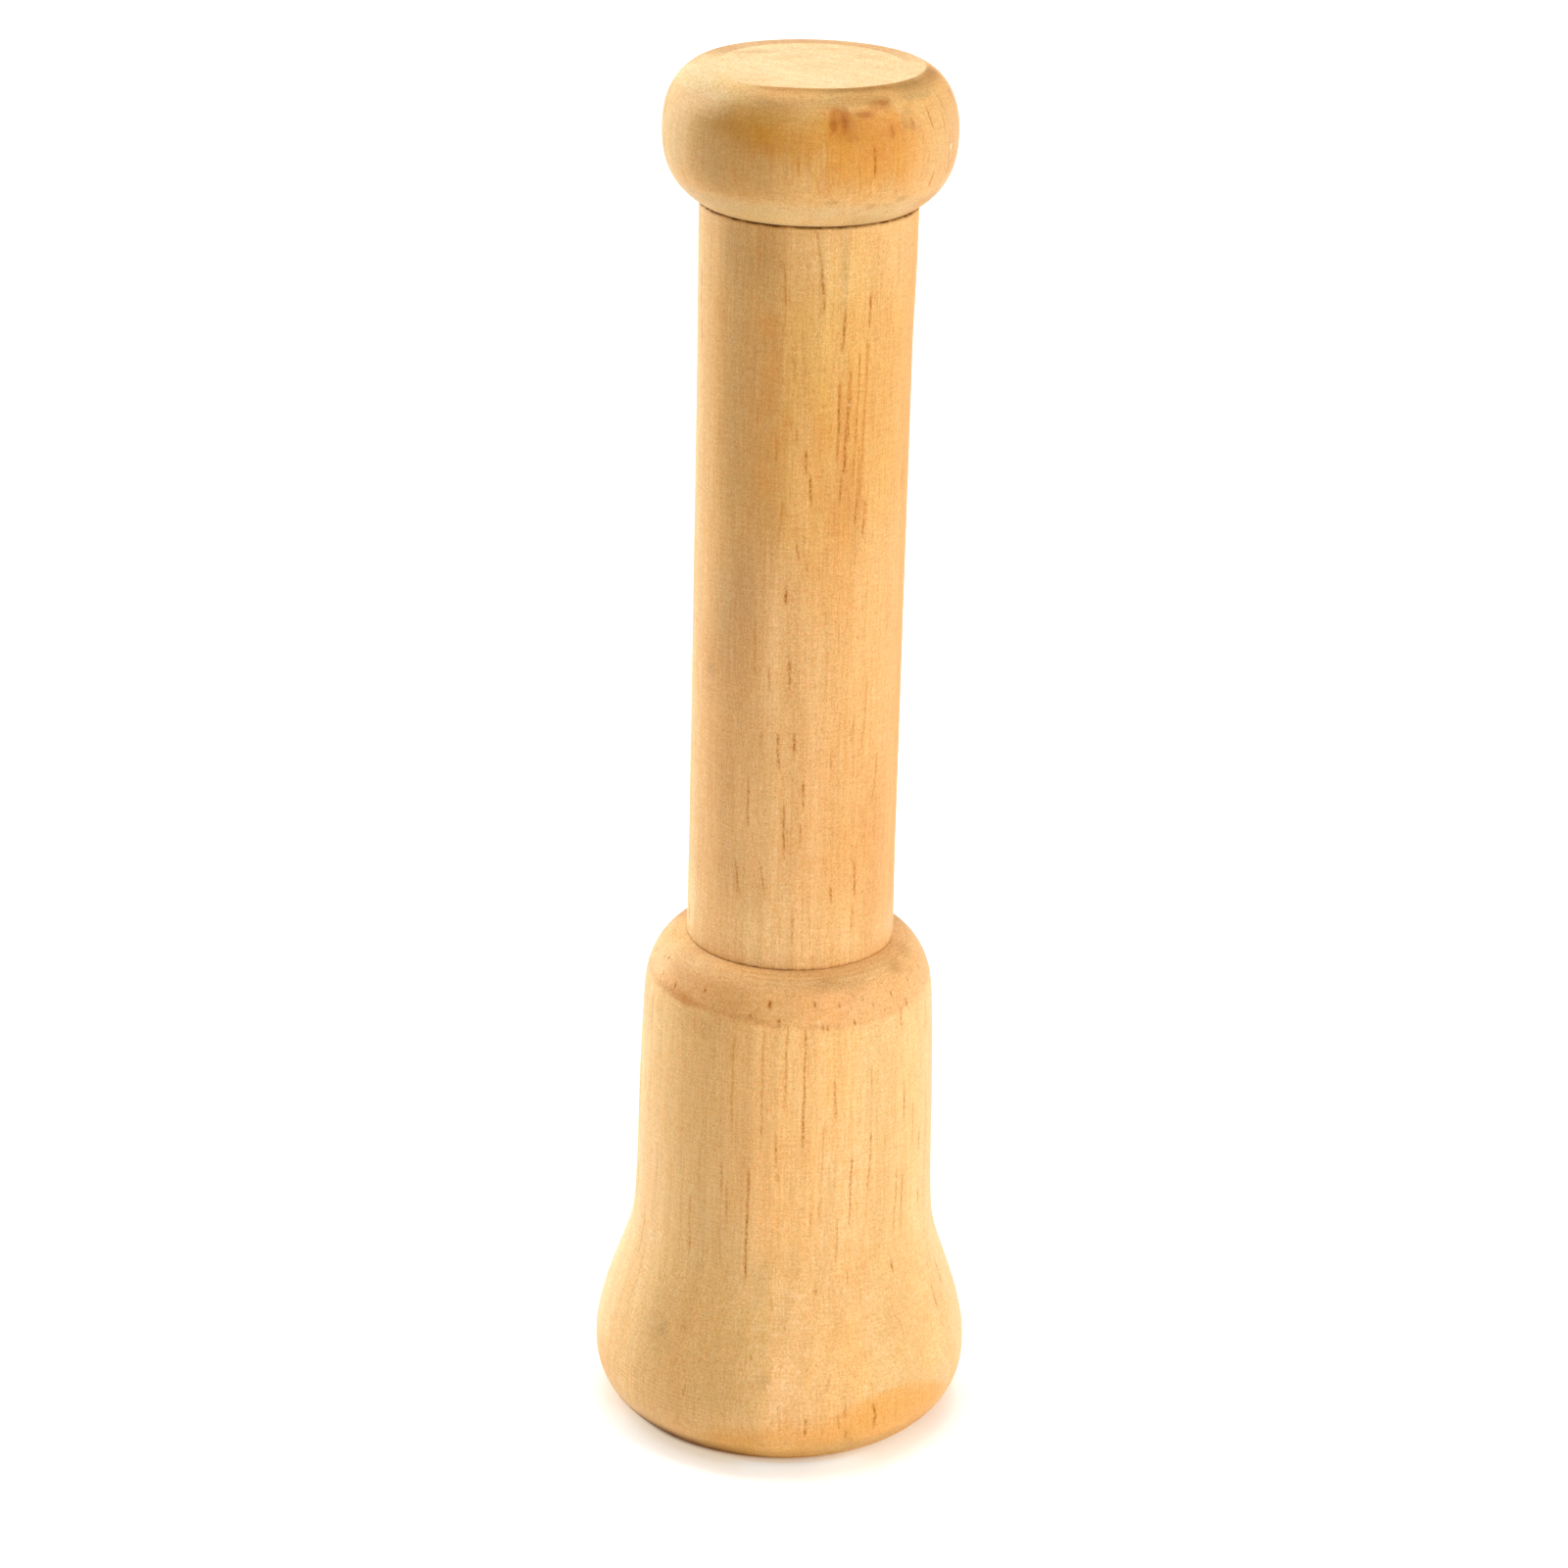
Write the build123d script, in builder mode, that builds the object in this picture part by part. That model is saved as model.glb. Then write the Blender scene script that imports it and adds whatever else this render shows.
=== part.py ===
from build123d import *
import math
import os

# Turned wooden muddler: a bell-shaped mashing head, a straight round handle and
# a rounded palm knob, turned as three pieces and joined end to end on two
# hidden fluted dowel pins with glue.
# Frame: millimetres, +Z up along the turning axis, origin at the centre of the
# flat mashing face that the tool stands on.

# ---------------------------------------------------------------- dimensions
overall_h = 205.0          # mashing face to palm face
head_h = 77.0              # mashing face to the head's shoulder seam
knob_h = 19.0              # knob seam to palm face
handle_r = 30.0 / 2        # straight grip, same radius at both ends
head_r = 55.6 / 2          # widest point of the bell
mash_face_r = 18.6         # flat part of the mashing face
knob_r = 40.7 / 2          # widest point of the palm knob
palm_face_r = 15.5         # flat facet on top of the knob, before its fillet

seam_chamfer = 0.25        # small arris broken on both ends of the handle
palm_edge_fillet = 0.6     # sanded edge of the palm facet

z_head_seam = head_h
z_knob_seam = overall_h - knob_h

# Dowel pins: each one spans a seam, part of its length on either side
head_pin_d = 12.0
head_pin_l = 60.0
head_pin_in_head = 30.0
head_pin_in_handle = head_pin_l - head_pin_in_head
head_pin_flute_r = 0.55
knob_pin_d = 10.0
knob_pin_l = 30.0
knob_pin_in_knob = 11.0
knob_pin_in_handle = knob_pin_l - knob_pin_in_knob
knob_pin_flute_r = 0.45
pin_end_chamfer = 1.0
pin_flutes = 16
flute_offset = 0.15        # flute centres lie this far outside the pin surface

# Drilled bores for the pins
glue_gap = 0.05            # radial room for glue
end_room = 1.0             # free depth past each end of a pin
drill_point = 118.0        # included angle of the drill tip, degrees

# Turned outline of the bell head, (radius, height), from the shoulder seam
# down: rounded shoulder, almost straight barrel, flare, rolled lower edge.
head_outline = [
    (handle_r, z_head_seam), (16.05, 76.83), (17.05, 76.48), (18.68, 75.08),
    (19.87, 73.29), (20.64, 71.30), (21.05, 69.18), (21.23, 66.90),
    (21.43, 62.73), (21.60, 58.00), (21.74, 53.00), (21.83, 48.00),
    (21.90, 43.40), (21.99, 39.04), (22.16, 34.90), (22.60, 30.60),
    (23.42, 27.30), (24.44, 24.27), (25.52, 21.20), (26.50, 18.14),
    (27.26, 15.10), (27.70, 12.60), (head_r, 10.60), (27.62, 8.20),
    (27.00, 6.10), (25.90, 4.15), (24.20, 2.50), (22.05, 1.20),
    (20.30, 0.42), (19.40, 0.12), (mash_face_r, 0.0),
]

# Turned outline of the palm knob, (radius, height), from the handle seam up
# to the edge of the flat palm facet.
knob_seam_r = 14.80
knob_outline = [
    (knob_seam_r, z_knob_seam), (15.89, 186.63), (16.92, 187.39), (17.84, 188.28),
    (18.63, 189.29), (19.27, 190.39), (19.76, 191.58), (20.09, 192.81),
    (20.28, 194.08), (knob_r, 195.75), (20.28, 197.80), (20.07, 199.17),
    (19.73, 200.40), (19.22, 201.58), (18.55, 202.66), (17.70, 203.61),
    (16.69, 204.40), (palm_face_r, overall_h),
]


# ------------------------------------------------------------- half outlines
def bore_outline(pin_d, mouth_z, pin_reach, up):
    """Blind bore drilled up or down from its mouth: straight wall, conical tip."""
    radius = pin_d / 2 + glue_gap
    depth = pin_reach + end_room
    tip = radius / math.tan(math.radians(drill_point / 2))
    direction = 1 if up else -1
    return [
        (0, mouth_z),
        (radius, mouth_z),
        (radius, mouth_z + direction * depth),
        (0, mouth_z + direction * (depth + tip)),
    ]


def pin_outline(pin_d, bottom_z, top_z):
    """Cylinder with both ends chamfered, so that the pin starts into its bore."""
    radius = pin_d / 2
    end_r = radius - pin_end_chamfer
    return [
        (0, bottom_z),
        (end_r, bottom_z),
        (radius, bottom_z + pin_end_chamfer),
        (radius, top_z - pin_end_chamfer),
        (end_r, top_z),
        (0, top_z),
    ]


# -------------------------------------------------------------------- pieces
def make_head():
    """Bell head, bored down from its shoulder seam."""
    with BuildPart() as head:
        with BuildSketch(Plane.XZ):
            with BuildLine():
                Polyline((0, 0), (0, z_head_seam), (handle_r, z_head_seam))
                Spline(*head_outline)
                Line((mash_face_r, 0), (0, 0))
            make_face()
        revolve(axis=Axis.Z)
        bore = bore_outline(head_pin_d, z_head_seam, head_pin_in_head, up=False)
        with BuildSketch(Plane.XZ):
            with BuildLine():
                Polyline(*bore, close=True)
            make_face()
        revolve(axis=Axis.Z, mode=Mode.SUBTRACT)
    return head.part


def make_handle():
    """Straight grip, bored from both ends."""
    bores = [
        bore_outline(head_pin_d, z_head_seam, head_pin_in_handle, up=True),
        bore_outline(knob_pin_d, z_knob_seam, knob_pin_in_handle, up=False),
    ]
    with BuildPart() as handle:
        with BuildSketch(Plane.XY.offset(z_head_seam)):
            Circle(handle_r)
        extrude(amount=z_knob_seam - z_head_seam)
        # Chamfer before boring, while the outer rims are the only circles
        chamfer(
            handle.faces().filter_by(Axis.Z).edges().filter_by(GeomType.CIRCLE),
            length=seam_chamfer,
        )
        for bore in bores:
            with BuildSketch(Plane.XZ):
                with BuildLine():
                    Polyline(*bore, close=True)
                make_face()
            revolve(axis=Axis.Z, mode=Mode.SUBTRACT)
    return handle.part


def make_knob():
    """Palm knob, bored up from its seam."""
    with BuildPart() as knob:
        with BuildSketch(Plane.XZ):
            with BuildLine():
                Polyline(
                    (palm_face_r, overall_h),
                    (0, overall_h),
                    (0, z_knob_seam),
                    (knob_seam_r, z_knob_seam),
                )
                Spline(*knob_outline)
            make_face()
        revolve(axis=Axis.Z)
        palm_edge = (
            knob.edges()
            .filter_by(GeomType.CIRCLE)
            .filter_by_position(Axis.Z, overall_h - 0.01, overall_h + 0.01)
        )
        fillet(palm_edge, radius=palm_edge_fillet)
        bore = bore_outline(knob_pin_d, z_knob_seam, knob_pin_in_knob, up=True)
        with BuildSketch(Plane.XZ):
            with BuildLine():
                Polyline(*bore, close=True)
            make_face()
        revolve(axis=Axis.Z, mode=Mode.SUBTRACT)
    return knob.part


def make_dowel(pin_d, pin_l, bottom_z, flute_r):
    """Hardwood pin; its shallow straight flutes let air and glue escape."""
    with BuildPart() as dowel:
        with BuildSketch(Plane.XY.offset(bottom_z)):
            Circle(pin_d / 2)
            with PolarLocations(pin_d / 2 + flute_offset, pin_flutes):
                Circle(flute_r, mode=Mode.SUBTRACT)
        extrude(amount=pin_l)
        # Trim the fluted bar to the chamfered outline
        with BuildSketch(Plane.XZ):
            with BuildLine():
                Polyline(*pin_outline(pin_d, bottom_z, bottom_z + pin_l), close=True)
            make_face()
        revolve(axis=Axis.Z, mode=Mode.INTERSECT)
    return dowel.part


# -------------------------------------------------------------------- export
pieces = {
    "head": make_head(),
    "handle": make_handle(),
    "knob": make_knob(),
    "head_dowel": make_dowel(
        head_pin_d, head_pin_l, z_head_seam - head_pin_in_head, head_pin_flute_r
    ),
    "knob_dowel": make_dowel(
        knob_pin_d, knob_pin_l, z_knob_seam - knob_pin_in_handle, knob_pin_flute_r
    ),
}

os.makedirs("parts", exist_ok=True)
for name, piece in pieces.items():
    piece.label = name
    export_step(piece, f"parts/{name}.step")
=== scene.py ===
"""A turned wooden muddler standing on its mashing face, its axis on Z.

Head, handle and knob are dense lathe meshes with grain pores, tool marks, worn
seams and blind dowel bores. The two dowel pins keep their CAD shape. Lengths are
in millimetres until a mesh is written. Theta is 0 on the front (-Y) and grows
towards the right (+X).
"""

import math

import bpy
import numpy as np
from mathutils import Matrix, Vector


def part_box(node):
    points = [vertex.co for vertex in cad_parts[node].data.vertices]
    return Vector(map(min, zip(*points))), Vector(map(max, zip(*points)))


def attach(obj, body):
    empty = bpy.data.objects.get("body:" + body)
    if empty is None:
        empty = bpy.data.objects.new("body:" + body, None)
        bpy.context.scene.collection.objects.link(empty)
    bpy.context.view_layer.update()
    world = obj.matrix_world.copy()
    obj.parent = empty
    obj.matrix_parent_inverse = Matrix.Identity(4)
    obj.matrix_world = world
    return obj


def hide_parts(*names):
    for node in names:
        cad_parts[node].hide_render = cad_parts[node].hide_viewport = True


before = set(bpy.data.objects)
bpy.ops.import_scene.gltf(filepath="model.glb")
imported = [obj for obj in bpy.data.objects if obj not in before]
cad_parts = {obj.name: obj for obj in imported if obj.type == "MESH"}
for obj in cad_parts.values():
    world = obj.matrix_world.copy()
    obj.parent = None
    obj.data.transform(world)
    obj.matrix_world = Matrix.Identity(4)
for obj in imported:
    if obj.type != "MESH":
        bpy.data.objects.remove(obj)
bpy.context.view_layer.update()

Z_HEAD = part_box("handle")[0].z * 1000  # joint of head and handle
Z_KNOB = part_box("handle")[1].z * 1000  # joint of handle and knob
Z_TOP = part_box("knob")[1].z * 1000
R_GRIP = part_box("handle")[1].x * 1000

# (radius, z), from the joint down to the mashing face
HEAD_OUTLINE = [
    (15.0, 77.0), (16.05, 76.83), (17.05, 76.48), (18.68, 75.08), (19.87, 73.29),
    (20.64, 71.30), (21.05, 69.18), (21.23, 66.90), (21.43, 62.73), (21.60, 58.00),
    (21.74, 53.00), (21.83, 48.00), (21.90, 43.40), (21.99, 39.04), (22.16, 34.90),
    (22.60, 30.60), (23.42, 27.30), (24.44, 24.27), (25.52, 21.20), (26.50, 18.14),
    (27.26, 15.10), (27.70, 12.60), (27.80, 10.60), (27.62, 8.20), (27.00, 6.10),
    (25.90, 4.15), (24.20, 2.50), (22.05, 1.20), (20.30, 0.42), (19.40, 0.12),
    (18.60, 0.0),
]
# (radius, z), from the edge of the palm facet down to the joint
KNOB_OUTLINE = [
    (15.5, 205.0), (16.69, 204.40), (17.70, 203.61), (18.55, 202.66),
    (19.22, 201.58), (19.73, 200.40), (20.07, 199.17), (20.28, 197.80),
    (20.35, 195.75), (20.28, 194.08), (20.09, 192.81), (19.76, 191.58),
    (19.27, 190.39), (18.63, 189.29), (17.84, 188.28), (16.92, 187.39),
    (15.89, 186.63), (14.80, 186.0),
]
# (above this z, distance between rings)
HEAD_SPACING = ((75.2, 0.3), (70, 0.4), (67, 0.5), (30, 1.02), (-1, 0.74))
KNOB_SPACING = ((204.65, 0.11), (203.9, 0.2), (-1, 0.35))

PALM_RADIUS = KNOB_OUTLINE[0][0]
# flat rings of the palm facet: distances inside its edge, then radii towards the axis
PALM_INSETS = np.array((2.6, 2.1, 1.7, 1.3, 0.95, 0.65, 0.42, 0.24, 0.11))
PALM_RADII = (
    12.6, 12.2, 11.7, 11.2, 10.6, 10.0, 9.3, 8.5, 7.6, 6.7, 5.8, 4.9, 4.0, 3.2, 2.4, 1.6, 0.8
)
PALM_MIN_WIDTH = 0.1  # columns are halved where they would get narrower than this

# dowel bores: (radius, radius of the ring on the drill cone)
BORE_BIG = (6.05, 3.0)
BORE_SMALL = (5.05, 2.5)
BORE_CHAMFER = 0.15
DRILL_SLOPE = math.tan(math.radians(59))
BIG_DEPTHS = (31, *np.linspace(27, 0.25, 5))

HANDLE_COLUMNS, KNOB_COLUMNS, HEAD_COLUMNS = 512, 640, 720
TOOL_PITCH = 0.86  # of the rings on the head's shoulder

# columns of the per-vertex data, after the three of the tint
PORE, SEAM, TURN = 3, 4, 5
# the plain colour of the stock, linear
STOCK = (0.667, 0.390, 0.138)
PALM = (112, 134, 176)  # cream of the palm facet, in percent of the stock

# ------------------------------------------------------------------ outlines


def spline(points, per=60):
    """Dense polyline through the points: a natural cubic over chord length."""
    points = np.array(points, float)
    gap = np.hypot(*np.diff(points, axis=0).T)
    size = len(points)
    system = np.zeros((size, size))
    target = np.zeros((size, 2))
    system[0, 0] = system[-1, -1] = 1
    for i in range(1, size - 1):
        system[i, i - 1 : i + 2] = gap[i - 1], 2 * (gap[i - 1] + gap[i]), gap[i]
        slopes = np.diff(points[i - 1 : i + 2], axis=0) / gap[i - 1 : i + 1, None]
        target[i] = 6 * (slopes[1] - slopes[0])
    bend = np.linalg.solve(system, target)
    out = []
    for i in range(size - 1):
        for part in np.linspace(0, 1, per, endpoint=False):
            done = part * gap[i]
            left = gap[i] - done
            out.append(
                (bend[i] * left**3 + bend[i + 1] * done**3) / (6 * gap[i])
                + (points[i] / gap[i] - bend[i] * gap[i] / 6) * left
                + (points[i + 1] / gap[i] - bend[i + 1] * gap[i] / 6) * done
            )
    out.append(points[-1])
    return np.array(out)


def walk(line, spacing):
    """Points along a polyline at the given spacing, and their distances along it."""
    length = np.r_[0, np.cumsum(np.hypot(*np.diff(line, axis=0).T))]
    stops, here = [0.0], 0.0
    while True:
        z = np.interp(here, length, line[:, 1])
        here += next(step for above, step in spacing if z > above)
        if here >= length[-1] - 0.05:
            break
        stops.append(here)
    stops = np.array([*stops, length[-1]])
    return np.c_[np.interp(stops, length, line[:, 0]), np.interp(stops, length, line[:, 1])], stops


# ------------------------------------------------------------------ shaping functions


def band_noise(rng, theta, z, cells, cell_height):
    """Smooth noise in -1..1, periodic in theta."""
    rows = int((z.max() - z.min()) / cell_height) + 3
    lattice = rng.uniform(-1, 1, (rows, cells))
    up = (z - z.min()) / cell_height
    around = (theta / (2 * np.pi) % 1.0) * cells
    i, j = np.floor(up).astype(int), np.floor(around).astype(int)
    up, around = up - i, around - j
    up, around = up * up * (3 - 2 * up), around * around * (3 - 2 * around)
    j0, j1 = j % cells, (j + 1) % cells
    return (lattice[i, j0] * (1 - up) + lattice[i + 1, j0] * up) * (1 - around) + (
        lattice[i, j1] * (1 - up) + lattice[i + 1, j1] * up
    ) * around


def ring_noise(rng, theta, cells):
    return band_noise(rng, theta, np.zeros_like(theta), cells, 1.0)


def ragged(rng, theta, cells, mean, spread, low):
    """Uneven strength of the dirt and painted shade in a seam, round the piece."""
    return np.clip(mean + spread * ring_noise(rng, theta, cells), low, 1)


def fainter_right(theta, amount):
    """1, less the amount on the right side, where the lower seam is fainter."""
    return 1 - amount * smooth(0.25, 0.9, theta) * smooth(2.9, 2.2, theta)


def wrap(angle):
    return (angle + np.pi) % (2 * np.pi) - np.pi


def columns(count):
    return wrap(np.arange(count) * 2 * np.pi / count)


def smooth(start, end, x):
    """Eases from 0 at start to 1 at end; start may be the larger."""
    part = np.clip((x - start) / (end - start), 0, 1)
    return part * part * (3 - 2 * part)


def bell(x, centre, width):
    return np.exp(-(((x - centre) / width) ** 2))


# ------------------------------------------------------------------ lathe mesh


def plain_data(*shape):
    data = np.zeros((*shape, 6))
    data[..., :3] = STOCK
    return data


def grid(rows, theta):
    """(radius, z) rows as full radius and z arrays, with a plain data block."""
    radius = np.repeat(rows[:, :1], len(theta), 1)
    z = np.repeat(rows[:, 1:2], len(theta), 1)
    return radius, z, plain_data(*z.shape)


class Lathe:
    """A closed surface swept round Z, ring by ring, from one pole to the other.
    A pole is a ring of one point. Elsewhere the number of columns may stay, halve
    or double from one ring to the next."""

    def __init__(self):
        self.points, self.faces, self.data = [], [], []
        self.last, self.total = None, 0

    def ring(self, radius, z, count, data=None):
        theta = np.arange(count) * 2 * np.pi / count
        radius, z = np.broadcast_to(radius, count), np.broadcast_to(z, count)
        self.points.append(np.c_[radius * np.sin(theta), -radius * np.cos(theta), z])
        self.data.append(plain_data(count) if data is None else data)
        ring = np.arange(self.total, self.total + count)
        self.total += count
        if self.last is not None:
            self.join(self.last, ring)
        self.last = ring

    def sweep(self, stations):
        for station in stations:
            self.ring(*station)

    def skin(self, radius, z, data):
        for row in range(len(z)):
            self.ring(radius[row], z[row], z.shape[1], data[row])

    def face(self, *corners):
        self.faces += np.column_stack(corners).tolist()

    def join(self, old, new):
        old_next, new_next = np.roll(old, -1), np.roll(new, -1)
        if len(old) == len(new):
            self.face(old, new, new_next, old_next)
        elif len(old) == 1:
            self.face(np.repeat(old, len(new)), new, new_next)
        elif len(new) == 1:
            self.face(old, np.repeat(new, len(old)), old_next)
        elif len(old) == 2 * len(new):
            even, odd = old[0::2], old[1::2]
            self.face(even, new, odd)
            self.face(odd, new, new_next)
            self.face(odd, new_next, np.roll(even, -1))
        else:
            even, odd = new[0::2], new[1::2]
            self.face(old, even, odd)
            self.face(old, odd, old_next)
            self.face(old_next, odd, np.roll(even, -1))

    def build(self, name):
        mesh = bpy.data.meshes.new(name)
        mesh.from_pydata((np.concatenate(self.points) * 0.001).tolist(), [], self.faces)
        mesh.polygons.foreach_set("use_smooth", [True] * len(mesh.polygons))
        data = np.concatenate(self.data)
        rgba = np.ones((len(data), 4), np.float32)
        rgba[:, :3] = data[:, :3]
        tint = mesh.attributes.new("tint", "FLOAT_COLOR", "POINT")
        tint.data.foreach_set("color", rgba.ravel())
        for column, label in ((PORE, "pore"), (SEAM, "seam"), (TURN, "turn")):
            values = mesh.attributes.new(label, "FLOAT", "POINT")
            values.data.foreach_set("value", data[:, column].astype(np.float32))
        mesh.update()
        ob = bpy.data.objects.new(name, mesh)
        bpy.context.scene.collection.objects.link(ob)
        return ob


def bored_end(mouth_z, inward, bore, depths, inner, outer, count):
    """Stations (radius, z, columns) from the tip of a blind bore out over the end
    face. inward is +1 where the bore runs up; depths start with the deepest; inner
    and outer are the first and last radius on the face."""
    radius, cone_radius = bore
    deepest = depths[0]
    profile = [(cone_radius, deepest + (radius - cone_radius) / DRILL_SLOPE)]
    profile += [(radius, depth) for depth in depths] + [(radius + BORE_CHAMFER, 0)]
    stations = [(0, mouth_z + inward * (deepest + radius / DRILL_SLOPE), 1)]
    stations += [(reach, mouth_z + inward * depth, count // 8) for reach, depth in profile]
    for reach, divide in ((inner, 8), (9.5, 4), (12.0, 2), (outer, 1)):
        stations.append((reach, mouth_z, count // divide))
    return stations


# ------------------------------------------------------------------ surface marks
# A dash is a brown vessel line along the grain: angle at its lower and upper end
# in degrees, lower and upper height, strength.

HANDLE_DASHES = [
    (19.5, 21.2, 168.7, 174.3, 1), (35, 35.3, 171.6, 176.3, 0.7), (29.2, 30.2, 155.6, 167.5, 0.55),
    (31, 31.4, 147.5, 155, 0.5), (33.9, 35, 157.1, 169.3, 0.4), (18.5, 19.4, 153.2, 158.8, 0.55),
    (39.9, 40.7, 155.3, 162.3, 0.2), (32.3, 33.3, 147, 154.1, 0.5), (2.1, 2.1, 151.6, 154.7, 1),
    (-10, -12.2, 175.3, 181.2, 0.4), (-5.2, -5.4, 177, 179.7, 0.15), (-4.9, -6.1, 164.4, 168.8, 0.5),
    (-0.4, -1.1, 163.7, 171.9, 0.35), (-24.9, -23.6, 158.2, 160.5, 0.4),
    (-13.9, -13.3, 153.1, 155.9, 0.5), (-6.3, -6.7, 157.7, 159.1, 0.45),
    (-3.6, -3.1, 155.6, 157.7, 0.5), (-11, -10, 141.6, 147.4, 0.42), (-0.6, -1.6, 139.3, 141, 0.75),
    (4.2, 3.5, 137.2, 138.5, 0.6), (-6.8, -7, 132.5, 135.3, 0.9), (-22.7, -23.2, 121.6, 127.9, 0.4),
    (-3.7, -3.8, 119.9, 124.4, 0.85), (-13.9, -15.2, 119.7, 122.7, 0.4),
    (-8.2, -9.4, 107.9, 113.1, 0.7), (0, -0.3, 110.6, 113.2, 0.95),
    (-18.4, -18.3, 110.6, 112.8, 0.45), (-24.8, -25.3, 98.5, 105.4, 0.6),
    (5.2, 5.3, 102, 106.1, 0.7), (-4.5, -5, 94.6, 101.9, 0.65), (4.4, 4.2, 96.6, 99.3, 0.45),
    (-30.3, -32, 88.5, 92.7, 0.65), (-14.9, -16.4, 88.5, 92.7, 0.5), (32.3, 33.1, 111, 114.9, 0.5),
    (39.3, 41.6, 109.8, 120.1, 0.4), (50.6, 51.3, 105.3, 108.5, 0.55), (48, 50.1, 101.3, 104.8, 0.55),
    (22.8, 22.2, 124.5, 129.4, 0.3), (36.8, 36.8, 87.9, 92.6, 0.7), (22.3, 22.1, 87.4, 89.8, 0.7),
    (-9.8, -9.5, 79.9, 86.8, 0.15), (35.6, 36.1, 82.3, 86.1, 0.55), (9.3, 8, 174.3, 180.2, 1),
    (7.7, 4.5, 180.2, 185.6, 0.45), (21.1, 18.9, 176.7, 185.5, 0.15), (5.5, 4.1, 147, 151.2, 0.8),
    (30.2, 30.1, 164.5, 168.2, 0.55), (22.4, 25.1, 151.3, 165.6, 0.75),
    (19.2, 18.8, 156.4, 164.3, 0.8), (24.6, 24.2, 156.3, 160.1, 0.7), (27.9, 29.3, 150.1, 160.3, 0.5),
    (32.7, 34.1, 150.9, 160.2, 0.55), (34.8, 34.1, 164.8, 169.5, 0.45),
    (22.1, 23.3, 151.3, 154.9, 0.85), (20.5, 21.4, 147.1, 150.7, 0.95), (30.1, 31, 144.8, 147.2, 0.85),
    (30.1, 30.2, 143.5, 145.4, 0.7), (35.2, 36.4, 141.8, 147, 0.8), (1.0, 1.5, 81.6, 86.2, 0.45),
    (24.4, 25.3, 156.5, 162.8, 0.5),
]
KNOB_DASHES = [
    (25.2, 25, 194, 198, 0.65), (19.8, 19.2, 192.5, 195.2, 0.25), (7.2, 7, 193.6, 196.3, 0.15),
    (2.8, 3, 193.5, 196.9, 0.1), (-0.2, -0.5, 194.8, 197.9, 0.3), (-4.1, -4.3, 194.5, 196.8, 0.3),
    (-7.6, -8.7, 192.7, 196.1, 0.1), (-14.5, -14.3, 194.7, 197.9, 0.2),
    (-18.9, -18.9, 193.4, 195.7, 0.1), (-29.4, -29.5, 192.2, 194.7, 0.25),
    (54.6, 53.8, 199.2, 201.7, 0.5), (64.4, 63.2, 197.5, 200.4, 0.25), (55.2, 56, 191.1, 193.1, 0.65),
    (44, 43.1, 199.6, 201.3, 0.3), (15.1, 12.5, 192, 194.2, 0.15), (7.5, 7.1, 191.9, 194.3, 0.25),
    (3.6, 2.6, 191.8, 194.9, 0.2), (33.7, 32.8, 199, 200.5, 0.45),
]
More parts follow.
